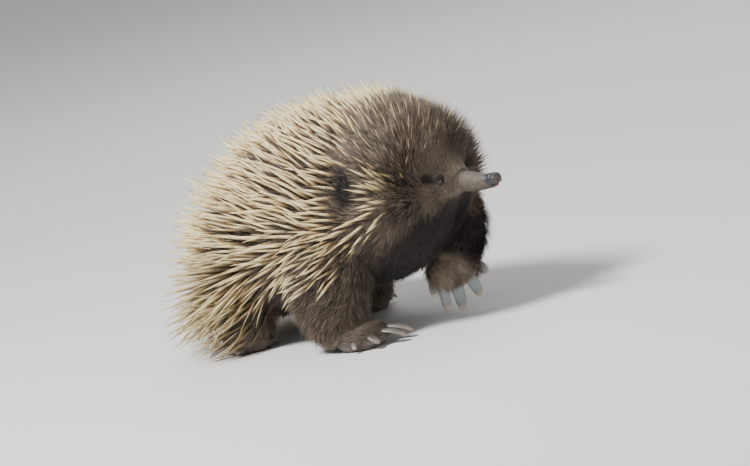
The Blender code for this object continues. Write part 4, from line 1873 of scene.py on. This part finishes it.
@dataclass
class SpineCoat:
    """The spines of back, flanks, rump, neck and crown, and of the upper legs.

    Length and lean go along the body. The ear's gap is a place along and round the body, in millimetres
    and degrees, and the ranges are the least and the most that chance gives.
    """

    frame: Frame
    hide: Hide
    chance: Chance
    length: Profile = Profile((
        (-204, 54), (-150, 58), (-60, 51), (0, 46), (40, 40), (70, 35), (95, 33), (112, 29),
    ))
    lean: Profile = Profile((
        (-204, 44), (-150, 42), (-95, 53), (-60, 59), (0, 60), (40, 57), (60, 48), (80, 36), (112, 24),
    ))
    spacing: float = 6.3
    half_width: float = 1.7
    cheek_lean: float = 50
    leg_lean: float = 62
    front_end: float = 109
    candidates: float = 0.25
    ear_gap: Pair = (62, 72)
    ear_gap_half: Pair = (16, 15)
    rump_heading: Triple = (-0.9, 0.34, -0.44)
    longer_or_shorter: Pair = (0.78, 1.1)
    thicker_or_thinner: Pair = (0.78, 1.14)
    curl: Pair = (-14, 4)
    make: Strand = Strand(6, (0.72, 0.96, 1.0, 0.86, 0.6, 0.3), sink=4.0)

    def build(self) -> list[Piece]:
        """All the spines, longest on the rump and finest on the crown.

        Returns:
            The pieces.
        """
        pieces = self._trunk()
        for plan in LEG_SPINES:
            pieces += self._leg(plan)
        return pieces

    def _grown(
        self, name: str, roots: Roots, length: Array, lean: Array, width: Array, shade: Array
    ) -> list[Piece]:
        """Grows one region's spines, each a little unlike its neighbours.

        Args:
            name: The region's name in the pieces' names.
            roots: Where they grow.
            length: Their lengths before chance varies them.
            lean: Their leans before chance varies them.
            width: Half their widths.
            shade: How much painted shade darkens each, from 0 to 1.

        Returns:
            The pieces.
        """
        count = len(roots)
        wander = np.cross(roots.out, roots.lie)
        turn = self.chance.normal(0, 0.16, count) + 0.15 * drift(roots.point, 42, 3)
        roots.lie = unit(roots.lie + wander * turn[:, None])
        growth = Growth(
            roots,
            length * self.chance.uniform(*self.longer_or_shorter, count),
            width * self.chance.uniform(*self.thicker_or_thinner, count),
            lean + self.chance.normal(0, 7, count) + 4 * drift(roots.point, 30, 8),
            self.chance.uniform(*self.curl, count),
            self.chance.normal(0, 0.06, count),
            self.chance.uniform(0, 1, count),
            shade=shade,
        )
        LOG.info("%s: %d spines", name, count)
        return growth.grounded(3.0, 0.5).pieces(f"spines_{name}", self.make, self.frame)

    def _trunk(self) -> list[Piece]:
        """The spines rooted on trunk and head.

        Returns:
            The pieces.
        """

        def spiny(x: Array, degrees: Array) -> Array:
            """Candidates for each square millimetre."""
            return self.candidates * (degrees < SPINE_EDGE.first(x))

        roots = TRUNK.scattered((TRUNK.rear + 3, self.front_end), spiny, self.chance)
        roots = roots.chosen(apart(roots.point, self.spacing * self._spread(roots)))
        roots = self.hide.held(roots)
        past_gap = np.abs(np.stack([roots.along, np.abs(roots.around)], axis=-1) - self.ear_gap)
        roots = roots.chosen((past_gap >= self.ear_gap_half).any(axis=1))
        x, degrees = roots.along, np.abs(roots.around)
        side = np.abs(np.sin(np.radians(degrees)))
        low = ease((degrees - 78) / 36) * ease((-70 - x) / 60)
        crown = self._crown(x, degrees)
        edge = ease((degrees - SPINE_EDGE.first(x) + 22) / 22) * (1 - low) * (1 - crown)
        length = self.length.first(x) * (1 - 0.06 * side + 0.55 * low - 0.18 * edge)
        cheek = ease((degrees - 58) / 16) * ease((x - 54) / 12)
        lean = self.lean.first(x) * (1 - cheek) + self.cheek_lean * cheek + 3 * side * (1 - crown) + 6 * low
        width = self.half_width * (1 - 0.52 * crown) * (1 - 0.05 * low - 0.08 * edge)
        rump = ease((degrees - 80) / 30) * ease((-120 - x) / 50)
        heading = np.tile(self.rump_heading, (len(x), 1))
        heading[:, 1] *= np.clip(roots.point[:, 1] / 50, -1, 1)
        lie = roots.lie * (1 - rump)[:, None] + heading * rump[:, None]
        roots.lie = unit(lie - roots.out * dot(lie, roots.out)[:, None])
        # Painted shade on the low spines of flank and rump, under the body.
        under = ease((degrees - 62) / 36) * ease((-40 - x) / 70)
        shade = 0.60 * under * (0.75 + 0.4 * drift(roots.point, 25, 9))
        return self._grown("trunk", roots, length, lean, width, np.clip(shade, 0, 0.8))

    def _spread(self, roots: Roots) -> Array:
        """The share of the usual spacing, wider on the crown and closer on rump and cheeks.

        Args:
            roots: The candidates.

        Returns:
            One share for each.
        """
        x, degrees = roots.along, np.abs(roots.around)
        crown = self._crown(x, degrees)
        rump = ease((degrees - 62) / 30) * ease((-80 - x) / 40)
        cheek = ease((degrees - 60) / 10) * ease((x - 66) / 10) * (1 - crown)
        return 1 + 0.55 * crown - 0.20 * rump - 0.15 * cheek

    @staticmethod
    def _crown(x: Array, degrees: Array) -> Array:
        """How much a place belongs to the hairy crown, where spines are few and thin, from 0 to 1."""
        return ease((x - 60 - 36 * ease((degrees - 58) / 16)) / 26)

    def _leg(self, plan: LegSpines) -> list[Piece]:
        """The spines rooted on the outer side of one upper leg.

        Args:
            plan: Where and how they grow.

        Returns:
            The pieces.
        """
        roots = self.hide.held(plan.limb.scattered((0.0, plan.end), plan.density * 2, self.chance))
        outer = roots.out[:, 1] * plan.side.value > 0.2
        fading = self.chance.uniform(0, 1, len(roots)) < 1.15 - roots.along / plan.end
        roots = roots.chosen(outer & fading & (roots.out[:, 0] < plan.forward))
        roots = roots.chosen(apart(roots.point, np.full(len(roots), 0.85 * self.spacing)))
        heading = np.array(plan.lie)
        roots.lie = unit(heading - roots.out * (roots.out @ heading)[:, None])
        count = len(roots)
        length = np.full(count, plan.length) * (1 - 0.25 * roots.along / plan.end)
        width = np.full(count, self.half_width * 0.82)
        shade = np.full(count, plan.shade)
        lean = np.full(count, float(self.leg_lean))
        return self._grown(plan.limb.name, roots, length, lean, width, shade)


@dataclass
class FurCoat:
    """The hair between the spines, of head, throat and belly, and of legs, tail and feet.

    On the face, hair has one length and lean on top and others at the side. Curl is a mean and a spread.
    """

    frame: Frame
    hide: Hide
    chance: Chance
    long_hair: Strand = Strand(3, (0.9, 1.0, 0.62), flatness=0.6, sink=1.2)
    short_hair: Strand = Strand(3, (1.0, 0.7), flatness=0.65, sink=0.8)
    top_length: Profile = Profile(((86, 27), (104, 31), (113, 28), (122, 14), (133.5, 4.5)))
    side_length: Profile = Profile(((86, 17), (104, 14), (113, 10), (122, 7.5), (133.5, 4)))
    top_lean: Profile = Profile(((86, 34), (104, 22), (113, 24), (122, 44), (133.5, 66)))
    side_lean: Profile = Profile(((86, 60), (104, 57), (113, 60), (122, 64), (133.5, 70)))
    ring_gap: float = 8.2
    long_width: float = 0.30
    foot_width: float = 0.21
    longer_or_shorter: Pair = (0.68, 1.12)
    thicker_or_thinner: Pair = (0.75, 1.25)
    curl: Pair = (10, 8)

    def build(self) -> list[Piece]:
        """All the hair, region by region."""
        return self._trunk() + self._face() + self._legs() + self._feet()

    def _grown(
        self, name: str, roots: Roots, make: Strand, length: Array, lean: Array, width: float, share: int,
        gather: float,
    ) -> list[Piece]:
        """Grows one region's hair.

        Args:
            name: The region's name in the pieces' names.
            roots: Where the hairs grow.
            make: The make of a hair.
            length: Their lengths before chance varies them.
            lean: Their leans before chance varies them.
            width: Half a hair's width.
            share: How many hairs make a clump.
            gather: How far their tips draw together.

        Returns:
            The pieces.
        """
        count = len(roots)
        wander = np.cross(roots.out, roots.lie)
        turn = 0.22 * drift(roots.point, 26, 14) + self.chance.normal(0, 0.13, count)
        roots.lie = unit(roots.lie + wander * turn[:, None])
        growth = Growth(
            roots,
            length * self.chance.uniform(*self.longer_or_shorter, count),
            width * self.chance.uniform(*self.thicker_or_thinner, count),
            lean + self.chance.normal(0, 6, count) + 5 * drift(roots.point, 18, 15),
            self.chance.normal(*self.curl, count),
            self.chance.normal(0, 0.16, count),
            np.clip(self.chance.beta(1.6, 2.4, count) + 0.12 * drift(roots.point, 9, 16), 0, 1),
            gathered(roots, share, self.chance) * gather,
            MARKINGS.pale(roots.point),
            # Painted shade behind the eyes, round the ears and under the body.
            np.maximum(MARKINGS.shade(roots.point), MARKINGS.underside_painted_shade(roots.point)),
        )
        LOG.info("%s: %d hairs", name, count)
        return growth.grounded().pieces(f"fur_{name}", make, self.frame)

    def _open(self, roots: Roots) -> Roots:
        """The roots that keep off the bare skin round the eyes and inside the ears.

        Args:
            roots: All the roots.

        Returns:
            Those that may carry a hair.
        """
        keep = np.ones(len(roots), dtype=bool)
        for seat in EYES:
            keep &= np.linalg.norm(roots.point - seat.ring_centre, axis=1) > self.ring_gap
        for seat in EARS:
            away, distance = seat.away(roots.point)
            keep &= (away > 0.85) | (distance > seat.reach)
        return roots.chosen(keep & (MARKINGS.past_fur(roots.point) < 0))

    def _trunk(self) -> list[Piece]:
        """The dark hair between the spines, and the hair of the belly, throat and lower flanks.

        Returns:
            The pieces.
        """

        def between_spines(x: Array, degrees: Array) -> Array:
            """Hairs for each square millimetre among the spines, more of them on the crown."""
            return (0.15 + 0.75 * ease((x - 36) / 36)) * (degrees < SPINE_EDGE.first(x) + 3)

        def below(x: Array, degrees: Array) -> Array:
            """Hairs for each square millimetre under the line where the spines end."""
            return (0.30 + 0.5 * ease((x - 20) / 40)) * (degrees >= SPINE_EDGE.first(x) - 4)

        roots = self._open(self.hide.held(TRUNK.scattered((TRUNK.rear + 2, 92), between_spines, self.chance)))
        crown = ease((roots.along - 40) / 35)
        cheek = crown * ease((np.abs(roots.around) - 50) / 18)
        length = 21 + 3.5 * crown - 6 * cheek
        lean = 57 - 20 * crown + 26 * cheek
        pieces = self._grown("back", roots, self.long_hair, length, lean, self.long_width, 8, 0.5)
        roots = self._open(self.hide.held(TRUNK.scattered((TRUNK.rear + 2, 88), below, self.chance)))
        front = ease((roots.along - 20) / 60)
        length = 19 - 2 * front
        lean = 62 - 2 * front
        pieces += self._grown("belly", roots, self.long_hair, length, lean, self.long_width, 12, 0.55)
        return pieces

    def _face(self) -> list[Piece]:
        """The hair of forehead, cheeks and chin, shortest at the root of the beak.

        Returns:
            The pieces.
        """
        pieces = []
        for name, make, reach, width in (
            ("head", self.long_hair, (86, 117), 0.25),
            ("muzzle", self.short_hair, (115, 133.4), 0.20),
        ):
            roots = TRUNK.scattered(reach, self._on_face, self.chance)
            roots = self._open(self.hide.held(roots))
            x, degrees = roots.along, np.abs(roots.around)
            near_eye = sum(bell(np.linalg.norm(roots.point - seat.centre, axis=1), 19) for seat in EYES)
            high = ease((122 - degrees) / 48) * (1 - near_eye)
            length = high * self.top_length.first(x) + (1 - high) * self.side_length.first(x)
            lean = high * self.top_lean.first(x) + (1 - high) * self.side_lean.first(x)
            away = np.min([np.linalg.norm(roots.point - seat.centre, axis=1) for seat in EYES], axis=0)
            length = length * np.clip((away - 3.2) / 10, 0.3, 1)
            pieces += self._grown(name, roots, make, length, lean, width, 7, 0.45)
        return pieces

    def _on_face(self, x: Array, degrees: Array) -> Array:
        """Hairs for each square millimetre of the face."""
        return (0.85 + 0.9 * ease((x - 104) / 24)) * ((x > 90) | (degrees > SPINE_EDGE.first(x) - 3))

    def _legs(self) -> list[Piece]:
        """The shaggy hair of the legs and the tail.

        Returns:
            The pieces.
        """
        pieces = []
        for limb in (*LEGS, TAIL):
            fore = "fore" in limb.name
            roots = self.hide.held(limb.scattered((0.12, 0.97), 0.50 if fore else 0.36, self.chance))
            length = 19 - 8 * ease((roots.along - 0.6) / 0.4)
            lean = np.full(len(roots), 64.0)
            pieces += self._grown(limb.name, roots, self.long_hair, length, lean, self.long_width, 12, 0.55)
        return pieces

    def _feet(self) -> list[Piece]:
        """The short hair on top of the feet, down to the roots of the claws.

        Returns:
            The pieces.
        """
        assert self.hide.points is not None and self.hide.normals is not None
        pieces = []
        for foot in FEET:
            offset = self.hide.points - np.array(foot.centre)
            front = foot.front()
            side = np.array([-front[1], front[0], 0.0])
            size = np.array(foot.half) + 9
            local = np.stack([offset @ front, offset @ side, offset[:, 2]], axis=-1) / size
            hangs = foot.centre[2] > 30
            covered = self.hide.normals[:, 2] > (-0.75 if hangs else 0.05)
            facing = (self.hide.normals @ front > -0.4) if hangs else True
            index = np.flatnonzero((np.linalg.norm(local, axis=1) < 1.15) & covered & facing)
            count = 5200 if hangs else 3200
            index = self.chance.choice(index, count, replace=len(index) < count)
            point = self.hide.points[index] + self.chance.normal(0, 0.35, (count, 3))
            out = self.hide.normals[index]
            ahead = front + np.array([0.0, 0.0, -1.6 if hangs else -0.25])
            lie = unit(ahead - out * (out @ ahead)[:, None])
            unwrap = foot.tile.place(local[index, 0] * 0.4 + 0.5, local[index, 1] * 0.4 + 0.5)
            roots = Roots(point, out, lie, unwrap, local[index, 0], local[index, 1])
            over_toes = local[index, 0] > 0.45
            length = np.full(count, 12.5) if hangs else np.where(over_toes, 6.0, 9.5)
            lean = np.full(count, 66.0)
            pieces += self._grown(foot.name, roots, self.short_hair, length, lean, self.foot_width, 7, 0.5)
        return pieces


@dataclass
class Beak:
    """The bare beak with its nostrils and mouth, and the tip of the tongue."""

    frame: Frame
    nostril: Triple = (170.4, 5.2, 143.0)
    nostril_half: Triple = (2.3, 1.8, 1.6)
    pit_half: Triple = (2.2, 2.6, 1.6)
    mouth_level: Pair = (136.4, 133.4)
    mouth_back: float = 158
    mouth_front: float = 174
    middle_level: float = 139.5
    lip: float = 0.3
    wrinkle: float = 0.16
    tongue_path: Profile = Profile((
        (0.0, 163, 0.0, 135.6, 1.0),
        (0.4, 169.5, -0.9, 134.0, 1.0),
        (0.75, 173.0, -2.6, 132.8, 0.95),
        (1.0, 174.2, -3.7, 131.8, 0.8),
    ))

    def _off_nostril(self, points: Array, side: Side, half: Triple) -> Array:
        """The distance from one nostril's middle, in its half sizes."""
        x, y, z = self.nostril
        return np.linalg.norm((points - np.array([x, side.value * y, z])) / np.array(half), axis=1)

    def build(self) -> Piece:
        """The beak, shaped point by point.

        Returns:
            The beak's skin.
        """
        rows, sides = 150, 120
        x = BEAK.rear + (BEAK.front - BEAK.rear) * np.sin(np.linspace(0, math.pi / 2, rows))
        grid_x, grid_angle = np.repeat(x, sides), np.tile(ring_angles(sides), rows)
        points = BEAK.straight(grid_x, grid_angle)
        middle = points * np.array([1.0, 0.0, 0.0]) + self.middle_level * UP
        inward = unit(middle - points)
        front = ease((points[:, 0] - self.mouth_back) / (self.mouth_front - self.mouth_back))
        gap = 0.45 + 1.0 * ease((points[:, 0] - 168) / 8)
        back_level, front_level = self.mouth_level
        level = back_level + (front_level - back_level) * ease((points[:, 0] - self.mouth_back) / 16)
        in_mouth = bell(points[:, 2] - level, gap) * front
        push = in_mouth * (0.9 + 1.5 * front)
        lips = bell(np.abs(points[:, 2] - level) - gap - 0.9, 0.7) * front * self.lip
        for side in Side:
            away = self._off_nostril(points, side, self.nostril_half)
            push = push + 1.3 * (1 - ease((away - 0.45) / 0.5)) - 0.22 * bell(away - 1.25, 0.35)
        wrinkles = self.wrinkle * drift(points * np.array([2.4, 0.5, 0.5]), 7, 41) * (1 - front)
        points = points + inward * (push - lips + wrinkles)[:, None]
        turned_points, faces = tube(TURN.points(points).reshape(rows, sides, 3))
        obj = mesh_object("beak_skin", turned_points, faces, self.frame)
        # Painted shade in the nostrils' dents, stored with the mouth's slit for the finish.
        pit = np.zeros(len(points))
        for side in Side:
            pit = np.maximum(pit, 1 - ease((self._off_nostril(points, side, self.pit_half) - 0.6) / 0.4))
        set_numbers(obj.data, "gape_shade", np.clip(np.maximum(in_mouth, pit), 0, 1))
        set_numbers(obj.data, "wet", ease((points[:, 0] - 154) / 16 + (points[:, 2] - 140) / 26))
        set_numbers(obj.data, "tip", ease((points[:, 0] - 170.5) / 5) * ease((146 - points[:, 2]) / 5))
        return dress(obj, BeakFinish().material(), Slot.BEAK, ["beak"])

    def tongue(self) -> Piece:
        """The tip of the tongue in the mouth.

        Returns:
            The tongue's tip.
        """
        rows, sides = 26, 18
        t = np.sin(np.linspace(0, math.pi / 2, rows))
        values = self.tongue_path.at(t)
        ahead = unit(np.gradient(values[:, :3], axis=0))
        side = unit(np.cross(ahead, UP))
        over = np.cross(side, ahead)
        radius = values[:, 3] * np.sqrt(np.clip(1 - (t * 0.999) ** 12, 0, 1))
        angle = ring_angles(sides)
        rings = (
            values[:, None, :3]
            + side[:, None] * (radius[:, None] * 1.15 * np.cos(angle))[:, :, None]
            + over[:, None] * (radius[:, None] * 0.85 * np.sin(angle))[:, :, None]
        )
        points, faces = tube(TURN.points(rings))
        obj = mesh_object("tongue_tip", points, faces, self.frame)
        return dress(obj, TongueFinish().material(), Slot.FLESH, ["tongue"])


@dataclass
class Eye:
    """An eyeball between its lids."""

    frame: Frame
    seat: EyeSeat
    slit: Pair = (3.7, 3.0)
    lid_reach: float = 7.6
    gap: float = 0.12
    cornea: float = 0.60

    def ball(self, material: Material) -> Piece:
        """The eyeball, with a low bulge of the cornea.

        Args:
            material: The eye's finish.

        Returns:
            The eyeball.
        """
        level, up, out = self.seat.axes
        rows, sides = 40, 40
        t = np.linspace(0.01, math.pi - 0.01, rows)
        angle = ring_angles(sides)
        radius = self.seat.radius - self.gap + self.cornea * bell(t, 0.5)
        along = (radius * np.cos(t))[:, None] * np.ones(sides)
        beside = (radius * np.sin(t))[:, None]
        rings = (
            self.seat.centre
            + out * along[:, :, None]
            + level * (beside * np.cos(angle))[:, :, None]
            + up * (beside * np.sin(angle))[:, :, None]
        )
        points, faces = tube(rings)
        label = self.seat.side.name.lower()
        obj = mesh_object(f"{label}_eyeball", points, faces, self.frame)
        set_numbers(obj.data, "look", np.repeat(np.cos(t), sides))
        return dress(obj, material, Slot.EYE, [f"{label}_eye"])

    def lids(self, material: Material) -> Piece:
        """Both lids as one band round the eye, with rolled edges and fine folds.

        Args:
            material: The skin's finish.

        Returns:
            The lids.
        """
        level, up, out = self.seat.axes
        sides = 96
        angle = ring_angles(sides)
        cos, sin = np.cos(angle), np.sin(angle)
        slit_x, slit_y = self.slit
        almond = 1 - 0.22 * np.abs(cos) ** 3
        edge = np.stack([slit_x * cos, slit_y * sin * almond], axis=-1)
        rim = np.stack([self.lid_reach * cos, self.lid_reach * 0.82 * sin], axis=-1) + self.seat.ring_offset
        radius = self.seat.radius
        rows = []
        # From behind the edge, round it and out over the folds, down into the skin and back inside.
        plan = [(-0.10, 0.10), (-0.04, 0.22), (0.0, 0.45), (0.02, 0.75), (0.06, 1.0), (0.11, 1.1)]
        plan += [(0.17 + 0.05 * k, 1.12 - 0.03 * k + 0.20 * math.sin(k * 1.9)) for k in range(14)]
        plan += [(0.93, 0.1), (1.0, -1.4), (0.8, -3.0), (0.4, -2.6), (0.1, -1.6), (-0.06, -0.5)]
        for share, height in plan:
            flat = edge + (rim - edge) * share
            away = np.linalg.norm(flat, axis=1)
            on_ball = np.sqrt(np.clip(radius**2 - np.minimum(away, radius * 0.96) ** 2, 0, None))
            slope = on_ball - 0.10 * np.maximum(away - radius * 0.8, 0) ** 1.2
            brow = 0.25 * np.clip(sin, 0, 1) * math.exp(-((share - 0.25) / 0.25) ** 2)
            depth = slope + 0.15 + height * 0.8 + brow
            rows.append(self.seat.centre + level * flat[:, :1] + up * flat[:, 1:] + out * depth[:, None])
        points, faces = tube(np.array(rows), looped=True)
        obj = mesh_object(f"{self.seat.side.name.lower()}_lids", points, faces, self.frame)
        # A little painted shade on the lids.
        for label, value in (("bare", 1.0), ("snout", 0.0), ("shade", 0.08), ("pale", 1.0)):
            set_numbers(obj.data, label, np.full(len(points), value))
        return dress(obj, material, Slot.COAT)


@dataclass
class ClawSet:
    """The claws of all four feet."""

    frame: Frame

    def build(self) -> list[Piece]:
        """Each claw as its own piece, which stands for its node.

        Returns:
            The claws.
        """
        # The raised left forefoot's claws, in shade, take the paler bluish copy, partly a painted sheen of
        # sky light; the others take the beige horn.
        blue = HornFinish("horn_blue_grey").material()
        beige = HornFinish(
            "horn_beige", root=(0.050, 0.045, 0.040), middle=(0.120, 0.110, 0.097), tip=(0.29, 0.23, 0.18)
        ).material()
        pieces = []
        for foot in FEET:
            for number, claw in enumerate(foot.claws, 1):
                node = f"{foot.name.replace('foot', 'claw')}_{number}"
                points, faces, along, across = claw.mesh(foot.front())
                obj = mesh_object(f"horn_{node}", points, faces, self.frame)
                set_numbers(obj.data, "along", along)
                set_numbers(obj.data, "across", across)
                pieces.append(dress(obj, blue if foot.name == "left_forefoot" else beige, Slot.HORN, [node]))
        return pieces


@dataclass(frozen=True)
class Lamp:
    """An area light: its way from the animal, its size in metres and its power in watts."""

    name: str
    right: float
    near: float
    up: float
    size: float
    power: float


@dataclass
class Studio:
    """The floor, the lights and the camera at the photograph's angle."""

    frame: Frame
    azimuth: float = 45
    elevation: float = 9
    roll: float = 13.5
    anchor: Triple = (60, -80, 0)
    shift: Pair = (-10, 112)
    distance: float = 6000
    lens: float = 288
    sensor_width: float = 36
    view_end: float = 100
    floor_size: float = 30
    lit_height: float = 110
    lamp_distance: float = 2.6
    lamps: tuple[Lamp, ...] = (
        Lamp("key", -0.70, 0.52, 1.12, 0.6, 132),
        Lamp("fill", 0.9, 1.0, 0.35, 0.8, 11),
        Lamp("rim", 0.2, -1.0, 0.9, 1.4, 22),
    )
    sky: Colour = (0.965, 0.96, 0.955)
    sky_strength: float = 0.46

    def build(self) -> None:
        """Everything that isn't part of the animal."""
        bpy.ops.mesh.primitive_plane_add(size=self.floor_size)
        floor = bpy.context.active_object
        floor.name = "floor"
        floor.data.materials.append(StudioFinish().material())
        self._camera()
        self._lights()

    def directions(self) -> tuple[Array, Array, Array]:
        """The directions to the right, up, and back towards the camera, before the roll.

        Returns:
            Three unit vectors.
        """
        azimuth, elevation = math.radians(self.azimuth), math.radians(self.elevation)
        right = np.array([math.cos(azimuth), math.sin(azimuth), 0.0])
        level = math.cos(elevation)
        back = np.array([math.sin(azimuth) * level, -math.cos(azimuth) * level, math.sin(elevation)])
        return right, np.cross(back, right), back

    def _camera(self) -> None:
        """The camera, level with the photograph's and rolled as it was."""
        right, up, back = self.directions()
        roll = math.radians(self.roll)
        rolled_right = right * math.cos(roll) - up * math.sin(roll)
        rolled_up = right * math.sin(roll) + up * math.cos(roll)
        middle = np.array(self.anchor) + rolled_right * self.shift[0] + rolled_up * self.shift[1]
        place = self.frame.metres(middle + back * self.distance)
        camera = bpy.data.objects.new("camera", bpy.data.cameras.new("camera"))
        camera.data.lens = self.lens
        camera.data.sensor_width = self.sensor_width
        camera.data.clip_end = self.view_end
        basis = Matrix([rolled_right, rolled_up, back]).transposed().to_4x4()
        camera.matrix_world = Matrix.Translation(place) @ basis
        bpy.context.scene.collection.objects.link(camera)
        bpy.context.scene.camera = camera

    def _lights(self) -> None:
        """A key light from the upper left, a weak fill, a light from behind and a pale world."""
        right, _, back = self.directions()
        level_back = np.array([back[0], back[1], 0.0])
        target = Vector(self.frame.metres(np.array([0.0, 0.0, self.lit_height])))
        for lamp in self.lamps:
            light = bpy.data.lights.new(lamp.name, "AREA")
            light.size = lamp.size
            light.energy = lamp.power
            holder = bpy.data.objects.new(lamp.name, light)
            heading = Vector(unit(lamp.right * right + lamp.near * level_back + lamp.up * UP))
            holder.location = target + heading * self.lamp_distance
            holder.rotation_euler = heading.to_track_quat("Z", "Y").to_euler()
            holder.visible_camera = False
            bpy.context.scene.collection.objects.link(holder)
        world = bpy.data.worlds.new("studio")
        world.use_nodes = True
        sky = world.node_tree.nodes["Background"]
        sky.inputs["Color"].default_value = (*self.sky, 1)
        sky.inputs["Strength"].default_value = self.sky_strength
        bpy.context.scene.world = world


def frame_from(nodes: Sequence[str]) -> Frame:
    """Finds the body's frame in the row from the right eye's node.

    Args:
        nodes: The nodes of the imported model.

    Returns:
        The frame, whose shift is in millimetres.
    """
    assert "right_eye" in nodes
    low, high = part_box("right_eye")
    middle = np.array((low + high) / 2) / MM
    shift = middle - EyeSeat(Side.RIGHT).centre
    return Frame((float(shift[0]), float(shift[1])))


def main() -> None:
    """Builds the animal and the studio in order."""
    logging.basicConfig(level=logging.INFO, format="%(message)s")
    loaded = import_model()
    frame = frame_from(list(loaded["nodes"]))
    LOG.info("shift %s", frame.shift)
    chance = np.random.default_rng(SEED)

    Studio(frame).build()
    hide = Hide(frame)
    skin = hide.build()
    hide_finish = HideFinish().material()
    fleshy = ["torso", "head", "tail", "right_ear", "left_ear"]
    fleshy += [part.name for part in (*LEGS, *FEET)]
    dress(skin, hide_finish, Slot.COAT, fleshy)

    spine_finish = SpineFinish().material()
    for piece in SpineCoat(frame, hide, chance).build():
        dress(piece, spine_finish, Slot.COAT)
    fur_finish = FurFinish().material()
    for piece in FurCoat(frame, hide, chance).build():
        dress(piece, fur_finish, Slot.COAT)

    beak = Beak(frame)
    beak.build()
    beak.tongue()
    eye_finish = EyeFinish().material()
    for seat in EYES:
        eye = Eye(frame, seat)
        eye.ball(eye_finish)
        eye.lids(hide_finish)
    ClawSet(frame).build()


if __name__ == "__main__":
    main()
